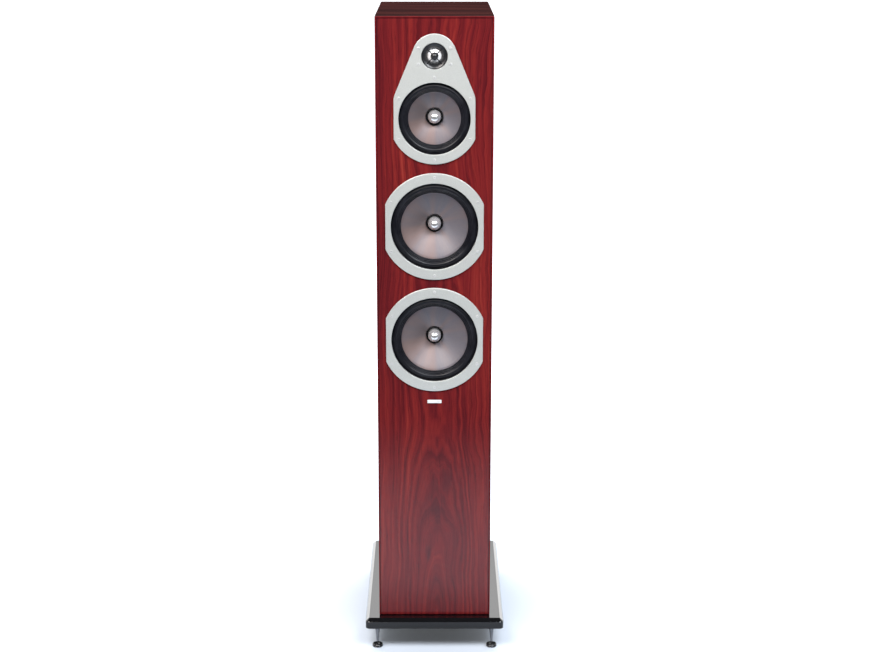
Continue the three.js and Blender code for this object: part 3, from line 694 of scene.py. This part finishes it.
def build_panels():
    """Sides and top, mitred together, which meet the front and rear boards at fine seams."""
    wall = TOP_HIGH.z - TOP_LOW.z

    def mitred_top(corner):
        if corner.z < (TOP_LOW.z + TOP_HIGH.z) / 2:
            corner.x -= math.copysign(wall, corner.x)

    def mitred_side(corner):
        if corner.z > CABINET_MIDDLE_Z and abs(corner.x) < TOP_HIGH.x - wall / 2:
            corner.z -= wall

    for side in ("left", "right"):
        low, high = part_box(f"{side}_side_panel")
        low = Vector((low.x, BAFFLE_HIGH.y, low.z))
        high = Vector((high.x, REAR_LOW.y, TOP_HIGH.z - MITRE_GAP * MM))
        board = panel(f"{side}_side", low, high, SEAM, SIDE_WOOD, mitred_side)
        placed(board, "cabinet", "veneer", f"{side}_side_panel")
    low = Vector((TOP_LOW.x + MITRE_GAP * MM, BAFFLE_HIGH.y, TOP_LOW.z))
    high = Vector((TOP_HIGH.x - MITRE_GAP * MM, REAR_LOW.y, TOP_HIGH.z))
    board = panel("top_board", low, high, SEAM, TOP_WOOD, mitred_top)
    placed(board, "cabinet", "veneer_top", "top_panel")


def build_rear():
    """The rear board, with a seat for the port's flare and a hole for the terminal cup."""
    half_width = (REAR_HIGH.x - REAR_LOW.x) / MM / 2
    half_height = (REAR_HIGH.z - REAR_LOW.z) / MM / 2
    depth = (REAR_HIGH.y - REAR_LOW.y) / MM
    outline = rectangle(half_width, half_height, 1.2, steps=3)
    port = middle("rear_port")
    cup = middle("terminal_cup")

    def holes(port_radius):
        cup_hole = rectangle(46.3, 36.3, 2, (0, (cup.z - CABINET_MIDDLE_Z) / MM))
        return [circle(port_radius, (0, (port.z - CABINET_MIDDLE_Z) / MM))[::-1], cup_hole[::-1]]

    sections = [(0, [inset(outline, SEAM), *holes(34.8)]), (SEAM, [outline, *holes(34.8)])]
    sections += [(depth - 8.9, [outline, *holes(34.8)]), (depth - 6.1, [outline, *holes(41.5)])]
    sections += [(depth - 6.1, [outline, *holes(46.3)])]
    for side, rise in fillet(EASED, 6):
        sections.append((depth - EASED + rise, [inset(outline, side), *holes(46.3)]))
    place = driver_frame(0, CABINET_MIDDLE_Z, REAR_LOW.y)
    placed(lofted("rear_board", sections, place, REAR_WOOD), "cabinet", "veneer", "rear_panel")


def build_plinth():
    """A lacquered slab with a bevel round its top, and four blind holes for the feet."""
    low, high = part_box("plinth")
    half_x, half_y = high.x / MM, high.y / MM
    thickness = (high.z - low.z) / MM
    bevel = 6.5
    corner_radius = 8
    hole_radius = 4.6
    hole_top = 15.5
    outline = rectangle(half_x, half_y, corner_radius)
    spikes = [middle(f"{foot}_spike") for foot in FEET]
    holes = [circle(hole_radius, (spike.x / MM, spike.y / MM), 32)[::-1] for spike in spikes]
    # The holes end part way up the bevel, so the outline there is set in by its share of the bevel.
    foot_of_bevel = (thickness - bevel + 0.5, 0.25)
    head_of_bevel = (thickness - 0.5, bevel - 0.25)
    share = (hole_top - foot_of_bevel[0]) / (head_of_bevel[0] - foot_of_bevel[0])
    side_at_hole_top = foot_of_bevel[1] + share * (head_of_bevel[1] - foot_of_bevel[1])
    body_steps = [(0, 0.6), (0.6, 0.0), (thickness - bevel, 0.0), foot_of_bevel]
    body_steps.append((hole_top, side_at_hole_top))
    body = [(along, [inset(outline, side), *holes]) for along, side in body_steps]
    mesh = bmesh.new()
    place = upright_frame(0, 0, low.z)
    rows = bridged_rows(mesh, body, place)
    for hole in rows[-1][1:]:
        mesh.faces.new(hole)
    close_row(mesh, rows[0])
    last = rows[-1][0]
    for along, side in (head_of_bevel, (thickness, bevel + 0.4)):
        ring = [mesh.verts.new(place @ Vector((x, y, along))) for x, y in inset(outline, side)]
        bridge(mesh, last, ring)
        last = ring
    mesh.faces.new(last)
    placed(piece("plinth_slab", mesh, LACQUER, 30, weighted=True), "cabinet", "plinth_lacquer", "plinth")


def keep(node, material):
    """A CAD node whose shape is right keeps it, and gets a better material."""
    made = NODES[node]
    made.data.materials.clear()
    made.data.materials.append(material)


# ---------- drivers ----------

# Radii and depths in millimetres, as the CAD pieces have them.
WOOFER_SIZES = SimpleNamespace(
    opening=78.75, wall=3.2, barrel=12, shoulder=64, shoulder_depth=44, back=53,
    back_depth=62, cone=61, cone_depth=8, neck=16.4, neck_depth=36, magnet=48,
    magnet_length=18, tip=16, tip_shoulder=33, ribs=3,
)
MIDRANGE_SIZES = SimpleNamespace(
    opening=64, wall=3, barrel=11, shoulder=52, shoulder_depth=35, back=43,
    back_depth=50, cone=47.25, cone_depth=7, neck=16.4, neck_depth=30, magnet=40,
    magnet_length=15, tip=12, tip_shoulder=28, ribs=3,
)
PLATE_FRONT = -3.3
PLATE_BACK = 0.0


def screw_into(mesh, place, x, y, face):
    """A low round head with a hexagon socket."""
    head = 2.8
    outer = [(head, face), (head, face - 0.35), (head - 0.25, face - 0.65), (head - 0.8, face - 0.8)]
    sections = []
    for radius, along in outer:
        socket = circle(1.1, (x, y), 6)
        corners = [Vector(corner) for corner in socket]
        hexagon = [tuple(corners[k // 4].lerp(corners[(k // 4 + 1) % 6], k % 4 / 4)) for k in range(24)]
        sections.append((along, [circle(radius, (x, y), 24), hexagon[::-1]]))
    loft_into(mesh, sections, place)


def screw_circle(radius):
    """Six spots on a circle, one of them at its top."""
    angles = [math.radians(30 + 60 * k) for k in range(6)]
    return [(radius * math.cos(a), radius * math.sin(a)) for a in angles]


def build_screws(name, place, spots, face, material):
    mesh = bmesh.new()
    for x, y in spots:
        screw_into(mesh, place, x, y, face)
    return placed(piece(name, mesh, material, 30), "cabinet", "silver_paint")


def build_basket(driver, sizes, place, rim):
    """A cast basket: round barrel, ledge for the surround, six windows and a back ring."""
    s = sizes
    barrel = s.opening + s.wall
    inner_shoulder = s.shoulder - s.wall
    inner_back = s.back - s.wall
    step = s.shoulder_depth + 6
    profile = rounded(
        [
            *rim,
            (barrel, s.barrel, 2), (s.shoulder, s.shoulder_depth, 2), (s.shoulder, step, 1),
            (s.back, step, 1), (s.back, s.back_depth, 1), (21, s.back_depth),
            (21, s.back_depth - s.wall), (inner_back, s.back_depth - s.wall, 1),
            (inner_back, step - s.wall, 1), (inner_shoulder, step - s.wall, 1),
            (inner_shoulder, s.shoulder_depth, 1), (s.opening - 2, s.barrel - 1, 1),
            (s.opening - 4.2, 7.6), (s.opening - 4.2, 5), (s.opening, 5),
        ],
        closed=True, steps=3,
    )
    basket = turned(f"{driver}_frame", profile, place, MOULDING, 72)
    front = s.barrel + 12.5
    back = s.shoulder_depth - 3
    half = s.shoulder * 0.31
    mesh = bmesh.new()
    for k in range(3):
        turn = Matrix.Rotation(k * math.pi / 3, 4, "Z")
        window = rectangle(200, half, 4, steps=3)
        loft_into(mesh, [(front, [window]), (back, [window])], place @ turn)
    cutter = piece("window_cutter", mesh, MOULDING)
    cut_by(basket, cutter)
    return placed(basket, "cabinet", "black_moulding")


def cut_by(made, cutter):
    """Cuts one closed mesh out of another, and removes the cutter."""
    modifier = made.modifiers.new("cut", "BOOLEAN")
    modifier.operation = "DIFFERENCE"
    modifier.solver = "EXACT"
    modifier.use_self = True
    modifier.object = cutter
    graph = bpy.context.evaluated_depsgraph_get()
    data = bpy.data.meshes.new_from_object(made.evaluated_get(graph))
    made.modifiers.clear()
    made.data = data
    bpy.data.objects.remove(cutter)


def build_surround(driver, sizes, place, lip_depth):
    """Moulded rubber: a flat lip, a round roll, then ribs that step down to the cone."""
    outer = sizes.opening - 0.4
    lip = sizes.opening - 3.4
    roll = sizes.opening - 0.42 * (sizes.opening - sizes.cone) - 3.4
    inner = sizes.cone - 0.6
    end_depth = sizes.cone_depth - 0.1
    midline = [(outer, lip_depth + 0.8), (outer, lip_depth + 0.2)]
    midline += [(outer - 0.4, lip_depth), (lip, lip_depth)]
    for k in range(1, 17):
        swell = math.sin(math.pi * k / 16)
        midline.append((lip + (roll - lip) * k / 16, lip_depth - 1.9 * swell**0.8))
    ribs = sizes.ribs
    for k in range(1, 12 * ribs + 1):
        t = k / (12 * ribs)
        rise = 1.15 * abs(math.sin(math.pi * ribs * t)) ** 0.8
        midline.append((roll - (roll - inner) * t, lip_depth + (end_depth - lip_depth) * t - rise))
    made = turned(f"{driver}_ribbed_surround", thick(midline, 0.5), place, RUBBER, 128, sharp=60)
    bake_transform(made)
    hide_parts(f"{driver}_surround")


def build_spider(driver, sizes, place):
    """Corrugated cloth from the basket's shoulder forwards to the voice coil."""
    outer = sizes.shoulder - sizes.wall - 1.5
    seat = sizes.shoulder_depth + 1.6
    inner = 16.4
    midline = [(outer, seat), (outer - 4, seat)]
    steps = 48
    for k in range(1, steps + 1):
        t = k / steps
        wave = 0.7 * math.sin(2 * math.pi * 5 * t) * min(1, 6 * (1 - t))
        midline.append((outer - 4 - (outer - 4 - inner) * t, seat - 5 * t + wave))
    made = turned(f"{driver}_corrugated_spider", thick(midline, 0.5), place, CLOTH, 72, sharp=60)
    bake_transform(made)
    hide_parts(f"{driver}_spider")


def build_cone(driver, sizes, place, centre):
    """A curved cone with a bead of glue at its rim and a collar at its neck."""
    s = sizes
    span = s.cone - s.neck
    fall = s.neck_depth - s.cone_depth
    curve = smooth_line([
        (s.cone, s.cone_depth),
        (s.cone - 0.18 * span, s.cone_depth + 0.235 * fall),
        (s.cone - 0.36 * span, s.cone_depth + 0.44 * fall),
        (s.cone - 0.54 * span, s.cone_depth + 0.63 * fall),
        (s.neck + 0.28 * span, s.cone_depth + 0.8 * fall),
        (s.neck + 0.12 * span, s.cone_depth + 0.925 * fall),
        (s.neck, s.neck_depth),
    ])
    rim = [(s.cone + 0.5, s.cone_depth - 0.9), (s.cone - 0.1, s.cone_depth - 1.0)]
    profile = thick([*rim, (s.cone - 0.6, s.cone_depth - 0.2), *curve[3:]], 0.7)
    material = cone_material(f"{driver}_cone_material", centre)
    made = turned(f"{driver}_diaphragm", profile, place, material, 128, sharp=50)
    placed(made, f"{driver}_moving_part", "cone", f"{driver}_cone")


def ring_profile(inside, rim, front, back, ease):
    """The profile of a flat ring whose outer edges are rounded by ease."""
    corners = [(inside, front, 0.4), (rim, front, ease), (rim, back, ease), (inside, back, 0.4)]
    return rounded(corners, True, 4)


def build_motor(driver, sizes, place):
    """Phase plug, voice coil, and the plates and magnet behind the basket."""
    s = sizes
    tip, shoulder = s.tip, s.tip_shoulder
    length = shoulder - tip
    radius = 12.3
    nose = smooth_line([
        (0.0, tip), (0.2 * radius, tip + 0.015 * length), (0.38 * radius, tip + 0.07 * length),
        (0.56 * radius, tip + 0.165 * length), (0.7 * radius, tip + 0.28 * length),
        (0.82 * radius, tip + 0.42 * length), (0.91 * radius, tip + 0.58 * length),
        (0.98 * radius, tip + 0.8 * length), (radius, shoulder),
    ])
    foot = s.back_depth - 1
    plug = turned(f"{driver}_plug", [*nose, (radius, foot), (0, foot)], place, POLISHED, 64)
    placed(plug, "cabinet", "polished_aluminium", f"{driver}_phase_plug")

    coil_front = s.back_depth - 2
    coil_back = coil_front + 12
    former = [(15, s.neck_depth - 2), (15.6, s.neck_depth - 2), (15.6, coil_back), (15, coil_back)]
    made = turned(f"{driver}_former", former, place, MATT_BLACK, 64)
    placed(made, f"{driver}_moving_part", "black_plastic")
    coil = [(radius, along, 0.3) for radius, along in (
        (15.65, coil_front), (16.5, coil_front), (16.5, coil_back), (15.65, coil_back),
    )]
    made = turned(f"{driver}_coil", rounded(coil, True), place, WINDING, 64)
    placed(made, f"{driver}_moving_part", "copper_wire", f"{driver}_voice_coil")

    plate = s.back_depth + 0.3
    magnet = plate + 6.3
    yoke = magnet + s.magnet_length + 0.3
    outer = s.magnet
    plate_ring = ring_profile(17.7, outer - 3, plate, plate + 6, 0.6)
    made = turned(f"{driver}_front_plate", plate_ring, place, STEEL, 72)
    placed(made, "cabinet", "plated_steel", f"{driver}_top_plate")
    magnet_ring = ring_profile(24, outer, magnet, magnet + s.magnet_length, 1.6)
    made = turned(f"{driver}_ferrite", magnet_ring, place, FERRITE, 72)
    placed(made, "cabinet", "ferrite", f"{driver}_magnet")
    pole = rounded(
        [(0, foot + 0.3), (14, foot + 0.3, 0.6), (14, yoke), (outer - 3, yoke, 0.6),
         (outer - 3, yoke + 6, 2), (0, yoke + 6)], steps=4,
    )
    made = turned(f"{driver}_back_plate", pole, place, STEEL, 72)
    placed(made, "cabinet", "plated_steel", f"{driver}_yoke")


def build_cone_driver(driver, sizes, centre, rim, lip_depth):
    place = driver_frame(centre.x, centre.z, FACE_Y)
    basket = build_basket(driver, sizes, place, rim)
    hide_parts(f"{driver}_basket")
    build_surround(driver, sizes, place, lip_depth)
    build_cone(driver, sizes, place, centre)
    build_spider(driver, sizes, place)
    build_motor(driver, sizes, place)
    return place


def build_woofer(driver, centre):
    """A woofer in a round silver flange with two flats."""
    rim = [(WOOFER_SIZES.opening, 0.0), (WOOFER_SIZES.opening + 3.2, 0.0)]
    place = build_cone_driver(driver, WOOFER_SIZES, centre, rim, 3.4)
    radius, half_width = 97.5, 88.5
    flat = math.acos(half_width / radius)
    above = arc(radius, flat, math.pi - flat, steps=40)
    below = arc(radius, math.pi + flat, 2 * math.pi - flat, steps=40)
    outline = above + below
    hole = circle(WOOFER_SIZES.opening, sides=128)[::-1]
    sections = plate_sections(outline, [hole], PLATE_BACK, PLATE_FRONT, 1.1, 0.9)
    flange = lofted(f"{driver}_flange", sections, place, SILVER)
    placed(flange, "cabinet", "silver_paint", f"{driver}_basket")
    build_screws(f"{driver}_screws", place, screw_circle(90), PLATE_FRONT, SCREW_SILVER)


def teardrop():
    """An arc over the tweeter, straight sides to two shoulders, short flats, and an arc below."""
    top_radius, half_width, shoulder, bottom = 39.2, 72.5, 38.0, 81.0
    top_z = (TWEETER.z - MIDRANGE.z) / MM
    reach = math.hypot(half_width, top_z - shoulder)
    tangent = math.atan2(shoulder - top_z, half_width) + math.acos(top_radius / reach)
    corner = math.acos(half_width / bottom)
    crown = arc(top_radius, tangent, math.pi - tangent, (0, top_z), 40)
    left = rounded([crown[-1], (-half_width, shoulder, 6), (-half_width, 0)], steps=6)
    below = arc(bottom, math.pi + corner, 2 * math.pi - corner, steps=48)
    right = rounded([(half_width, 0), (half_width, shoulder, 6), crown[0]], steps=6)
    return [*crown, *left[1:-1], *below, *right[1:-1]]


def build_midrange():
    """The midrange, and the silver plate that it shares with the tweeter."""
    rim = [(MIDRANGE_SIZES.opening, 0.2), (70.4, 0.2), (70.4, 3.7), (67, 3.7)]
    place = build_cone_driver("midrange", MIDRANGE_SIZES, MIDRANGE, rim, 3.4)
    tweeter_z = (TWEETER.z - MIDRANGE.z) / MM
    holes = [circle(MIDRANGE_SIZES.opening, sides=128)[::-1], circle(23.2, (0, tweeter_z))[::-1]]
    sections = plate_sections(teardrop(), holes, PLATE_BACK, PLATE_FRONT, 1.1, 0.9)
    plate = lofted("shared_plate", sections, place, SILVER)
    placed(plate, "cabinet", "silver_paint", "tweeter_midrange_plate")
    tweeter_spots = [(x, tweeter_z + z) for x in (-28.5, 28.5) for z in (-14, 14)]
    spots = [*screw_circle(73), *tweeter_spots]
    build_screws("shared_plate_screws", place, spots, PLATE_FRONT, SCREW_SILVER)


def build_tweeter():
    """Metal dome behind a moulded funnel, whose four arms carry a bullet."""
    place = driver_frame(TWEETER.x, TWEETER.z, FACE_Y)
    funnel = rounded(
        [(22.8, -3.5, 0.4), (21.6, -3.5, 0.5), (18.6, -2.2, 2), (15.8, 0.6, 2), (14, 3.4, 0.8), (14, 5),
         (22.8, 5)], True, 5,
    )
    mesh = bmesh.new()
    lathe_into(mesh, funnel, place, 96)
    bullet = smooth_line([
        (0.0, -6.0), (1.5, -5.85), (2.6, -5.4), (4.0, -4.6), (5.2, -3.6), (6.2, -2.5), (6.8, -1.5),
    ])
    lathe_into(mesh, [*bullet, (6.7, -1.1), (6, -0.8), (0, -0.8)], place, 48)
    for quarter in range(4):
        turn = Matrix.Rotation(math.radians(45 + 90 * quarter), 4, "Z")
        steps = ((-3, 0.55), (-2.6, 0.85), (-1.5, 0.85))
        arm = [(along, [rectangle(6.8, half, 0.3, (12.2, 0), 3)]) for along, half in steps]
        loft_into(mesh, arm, place @ turn)
    made = piece("waveguide", mesh, MOULDING, 40)
    placed(made, "cabinet", "black_moulding", "tweeter_waveguide")

    outer = smooth_line([(0.0, 0.8), (3.3, 1.05), (6.4, 1.8), (9, 3.0), (11, 4.4), (12.2, 5.6)])
    inner = smooth_line([(11.8, 6.0), (10.6, 4.8), (8.8, 3.4), (6.2, 2.15), (3.2, 1.4), (0.0, 1.15)])
    dome = [*outer, (12.6, 6.4), (12.6, 9.5), (12.0, 9.5), (12.0, 6.4), *inner]
    made = turned("metal_dome", dome, place, DOME_METAL, 72, sharp=40)
    placed(made, "tweeter_moving_part", "dome_metal", "tweeter_dome")
    keep("tweeter_motor", STEEL)


def build_badge():
    """A plain bar under the woofers."""
    low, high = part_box("badge_bar")
    centre = (low + high) / 2
    place = driver_frame(centre.x, centre.z, FACE_Y)
    outline = rectangle((high.x - low.x) / MM / 2, (high.z - low.z) / MM / 2, 1.0)
    front = (low.y - FACE_Y) / MM
    sections = plate_sections(outline, [], 0.0, front, 0.5)
    placed(lofted("badge", sections, place, BADGE_METAL), "cabinet", "badge_metal", "badge_bar")


# ---------- feet ----------

FEET = ["front_left", "front_right", "rear_left", "rear_right"]


def threaded(radius_low, radius_high, pitch, first, last):
    """Gives a lathe a screw thread between two heights, where its radius lies in a band."""

    def shape(radius, along, angle):
        if not (first <= along <= last and radius_low < radius < radius_high):
            return radius
        phase = (along / pitch - angle / (2 * math.pi)) % 1
        return radius - 0.55 * abs(2 * phase - 1)

    return shape


def build_foot(foot):
    """A tapered spike on a threaded stud, over a loose disc with a dimple."""
    spike_low, spike_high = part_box(f"{foot}_spike")
    centre = (spike_low + spike_high) / 2
    place = upright_frame(centre.x, centre.y)
    top = spike_high.z / MM
    pitch = 1.25
    thread = [(4.0, top - k * pitch / 6) for k in range(1, int((top - 45.6) / pitch * 6))]
    taper = rounded(
        [(4.0, 45.0), (4.0, 44.7), (4.9, 44.7, 0.4), (4.9, 41.2, 0.3), (4.45, 40.6, 0.3), (4.45, 39.4, 0.3),
         (4.75, 38.9, 0.5), (3.2, 26, 3), (2.3, 14, 2), (2.0, 8.5, 0.8), (0, 4.4)], steps=4,
    )
    profile = [(0, top), (3.3, top), *thread, *taper]
    shape = threaded(3.9, 4.1, pitch, 45.5, top - 0.2)
    made = turned(f"{foot}_threaded_spike", profile, place, CHROME, 40, shape)
    placed(made, f"{foot}_spike_body", "chrome", f"{foot}_spike")

    rim = rounded([(0, 0), (9.2, 0, 0.5), (10, 0.8, 0.5), (10, 2.0, 0.3), (9.2, 2.2), (0, 2.2)], steps=4)
    made = turned(f"{foot}_disc_rim", rim, place, CHROME, 64)
    placed(made, f"{foot}_disc_body", "chrome")
    cap = rounded([
        (0, 2.25), (9.6, 2.25), (9.95, 2.5, 0.2), (9.95, 4.9, 0.6), (8.9, 6, 0.6), (3.6, 6, 0.5),
        (0, 3.6, 0.6),
    ])
    made = turned(f"{foot}_disc_top", cap, place, DISC_BLACK, 64)
    placed(made, f"{foot}_disc_body", "foot_disc", f"{foot}_foot_disc")


# ---------- rear ----------


def build_port():
    """A flared bass port."""
    low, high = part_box("rear_port")
    centre = (low + high) / 2
    place = driver_frame(0, centre.z, 0)
    mouth, deep = high.y / MM, low.y / MM
    inner = smooth_line([
        (45.4, mouth - 0.4), (42.5, mouth - 1.6), (38, mouth - 5), (34.6, mouth - 11),
        (32.6, mouth - 19), (32, mouth - 28),
    ])
    profile = [
        (32, deep + 8), (32.6, deep + 3), (33.4, deep + 0.6), (34.2, deep), (34.5, deep + 0.8),
        (34.5, mouth - 8.8), (41, mouth - 5.9), (46, mouth - 5.9), (46, mouth - 0.7), (45.8, mouth - 0.25),
    ]
    made = turned("bass_port", [*profile, *inner], place, MATT_BLACK, 96)
    placed(made, "cabinet", "black_plastic", "rear_port")


def build_terminals():
    """A recessed cup with a flange, two studs with washers, and fluted clamping knobs."""
    low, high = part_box("terminal_cup")
    centre = (low + high) / 2
    face = high.y / MM
    floor = low.y / MM
    place = driver_frame(0, centre.z, 0)
    flange = rectangle((high.x - low.x) / MM / 2, (high.z - low.z) / MM / 2, 7)
    body = rectangle(46, 36, 1.8)
    board = BACK_Y / MM
    mesh = bmesh.new()
    rows = [
        (floor, [body]), (board, [body]), (board, [flange]), (face - 0.7, [flange]),
        (face - 0.2, [inset(flange, 0.25)]), (face, [inset(flange, 0.8)]),
        (face, [rectangle(43.6, 33.6, 3.6)]), (face - 0.5, [rectangle(43.1, 33.1, 3.2)]),
        (floor + 5, [rectangle(42, 32, 3)]), (floor + 3.6, [rectangle(41.4, 31.4, 2.6)]),
        (floor + 3, [rectangle(40, 30, 2)]),
    ]
    loft_into(mesh, rows, place)
    made = piece("terminal_recess", mesh, MATT_BLACK, 35, weighted=True)
    placed(made, "cabinet", "black_plastic", "terminal_cup")
    flip = Matrix.Translation((0, 0, 2 * face)) @ Matrix.Scale(-1, 4, (0, 0, 1))
    spots = [(x, y) for x in (-49.5, 49.5) for y in (-39.5, 39.5)]
    build_screws("terminal_screws", place @ flip, spots, face, STEEL)

    for side, plastic_material, plastic_slot in (
        ("left", MATT_BLACK, "black_plastic"), ("right", RED_PLASTIC, "red_plastic"),
    ):
        build_post(side, plastic_material, plastic_slot)


def build_post(side, plastic_material, plastic_slot):
    """One binding post: stud with a thread, clamping washer and fluted knob."""
    low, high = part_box(f"{side}_terminal_stud")
    centre = (low + high) / 2
    place = driver_frame(centre.x, centre.z, 0)
    foot, end = low.y / MM, high.y / MM
    pitch = 1.0
    count = int((end - 0.8 - (foot + 3.6)) / pitch * 6)
    thread = [(2.8, foot + 3.6 + k * pitch / 6) for k in range(count)]
    profile = [(0, foot), (4.8, foot), (4.8, foot + 1.6), (4.4, foot + 2), (2.8, foot + 2.2), *thread]
    profile += [(2.4, end - 0.5), (2.0, end), (0, end)]
    shape = threaded(2.75, 2.9, pitch, foot + 3.6, end - 0.6)
    made = turned(f"{side}_post_stud", profile, place, BRASS, 40, shape)
    placed(made, "cabinet", "brass", f"{side}_terminal_stud")

    low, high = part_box(f"{side}_clamp_washer")
    outer = (high.x - low.x) / MM / 2
    front, back = low.y / MM, high.y / MM
    ring = rounded([(3.1, front, 0.2), (outer, front, 0.4), (outer, back, 0.4), (3.1, back, 0.2)], True, 4)
    made = turned(f"{side}_post_washer", ring, place, BRASS, 48)
    placed(made, f"{side}_washer_body", "brass", f"{side}_clamp_washer")

    low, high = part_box(f"{side}_terminal_knob")
    outer = (high.x - low.x) / MM / 2
    front, back = low.y / MM, high.y / MM
    flutes = 14

    def fluted(radius, along, angle):
        if radius < outer - 0.9 or not front + 2.4 < along < back - 1.4:
            return radius
        return radius - 0.55 * max(0.0, math.cos(flutes * angle)) ** 2

    grip = [(outer - 0.05, front + 2.5 + (back - front - 4) * k / 6) for k in range(7)]
    knob = [(3.1, front), (outer - 1.0, front), (outer - 0.6, front + 0.4), (outer - 0.6, front + 2.3)]
    knob += [*grip, (outer - 0.4, back - 0.7), (outer - 1.2, back)]
    knob += [(4.4, back), (4.2, back - 0.3), (3.1, back - 0.3)]
    made = turned(f"{side}_post_knob", knob, place, plastic_material, 140, fluted, 40)
    placed(made, f"{side}_knob_body", plastic_slot, f"{side}_terminal_knob")


# ---------- studio ----------

GLOW = 1.7  # radiance of the studio behind the object
DIM = 0.05  # and of the rest of it
FRONT_WATTS = 108
TOP_WATTS = 80


def softbox(name, place, target, size, watts, colour):
    lamp = bpy.data.lights.new(name, "AREA")
    lamp.shape = "RECTANGLE"
    lamp.size, lamp.size_y = size
    lamp.energy = watts
    lamp.color = colour
    made = bpy.data.objects.new(name, lamp)
    made.location = place
    made.rotation_mode = "QUATERNION"
    made.rotation_quaternion = (Vector(target) - Vector(place)).to_track_quat("-Z", "Y")
    bpy.context.scene.collection.objects.link(made)


def build_world():
    """A dim studio that glows behind the object, high up and to both sides, but not low in the middle."""
    world = bpy.data.worlds.new("studio")
    bpy.context.scene.world = world
    world.use_nodes = True
    background = world.node_tree.nodes["Background"]
    g = Nodes(world.node_tree)
    x, y, z = g.split(g.node("ShaderNodeTexCoord").outputs["Generated"])
    overhead = g.times(g.span(z, 0.24, 0.42), 0.8)
    beside = g.span(g.math("ABSOLUTE", x), 0.16, 0.34)
    glow = g.times(g.span(y, -0.05, 0.45), g.math("MAXIMUM", overhead, beside))
    strength = g.node("ShaderNodeMath", {0: glow, 1: GLOW, 2: DIM}, operation="MULTIPLY_ADD").outputs[0]
    g.feed(background.inputs["Strength"], strength)
    background.inputs["Color"].default_value = (1.0, 1.0, 1.0, 1.0)


def build_floor():
    """A wide pale sweep, graded from front to back, with a painted shadow just in front of the object. The
    camera sees it paler than reflections do.
    """
    mesh = bmesh.new()
    bmesh.ops.create_grid(mesh, x_segments=8, y_segments=8, size=20)
    g = Graph("floor_material", {"Specular IOR Level": 0.1, "Emission Color": (1.0, 1.0, 1.0, 1.0)})
    forward = g.split(g.place)[1]
    # Reflections see a painted shadow in the floor's tone, from 0.52 m in front of the object to under it;
    # the camera sees the floor no darker than 0.68.
    pale = g.minus(g.span(forward, -1.7, -0.55, 0.02, 0.72), g.span(forward, -0.52, -0.3, 0.0, 0.44))
    pale = g.plus(pale, g.span(forward, 0.25, 0.9, 0.0, 0.4))
    seen = g.node("ShaderNodeLightPath").outputs["Is Camera Ray"]
    tone = g.math("MAXIMUM", pale, g.times(seen, 0.68))
    cloud = g.noise(g.place, 3, 2)
    tone = g.times(tone, g.span(cloud, 0.3, 0.7, 0.985, 1.0))
    away = g.vector("LENGTH", g.place, (0.0, 0.0, 0.0))
    white = g.times(seen, g.span(away, 0.16, 1.2, 0.05, 0.95))
    white = g.math("MAXIMUM", white, g.span(forward, 0.6, 2.0, 0.0, 0.9))
    g.feed(g.shader.inputs["Emission Strength"], white)
    cool = g.vector("MULTIPLY", g.combine(tone, tone, tone), (0.9, 1.0, 1.14))
    g.finish(cool, 0.7)
    floor = piece("floor", mesh, g.material)


CAMERA_PLACE = (0, -3.2125, 1.418)  # metres
CAMERA_TILT = math.radians(75.5)
CAMERA_LENS = 70.96  # millimetres
SENSOR_WIDTH = 36


def build_camera():
    """The camera fitted to the photograph."""
    data = bpy.data.cameras.new("camera")
    data.lens = CAMERA_LENS
    data.sensor_width = SENSOR_WIDTH
    camera = bpy.data.objects.new("camera", data)
    camera.location = CAMERA_PLACE
    camera.rotation_euler = (CAMERA_TILT, 0, 0)
    bpy.context.scene.collection.objects.link(camera)
    bpy.context.scene.camera = camera


build_baffle()
build_panels()
build_rear()
build_plinth()
for node in ("bottom_panel", "midrange_shelf", "upper_brace", "lower_brace"):
    keep(node, BOARD)
keep("crossover_board", CIRCUIT)
build_woofer("upper_woofer", UPPER)
build_woofer("lower_woofer", LOWER)
build_midrange()
build_tweeter()
build_badge()
for foot in FEET:
    build_foot(foot)
build_port()
build_terminals()

build_camera()
build_world()
build_floor()
for side_name, side_x, tint in (("left", -1.25, (1.0, 0.94, 0.9)), ("right", 1.25, (0.91, 0.95, 1.0))):
    softbox(f"{side_name}_softbox", (side_x, -2.05, 2.9), (0, 0, 0.8), (2.0, 1.2), FRONT_WATTS, tint)
softbox("top_softbox", (0, 1.7, 3.0), (0, 0.3, 0), (3.0, 1.4), TOP_WATTS, (1.0, 1.0, 1.0))
bpy.context.scene.view_settings.view_transform = "Standard"
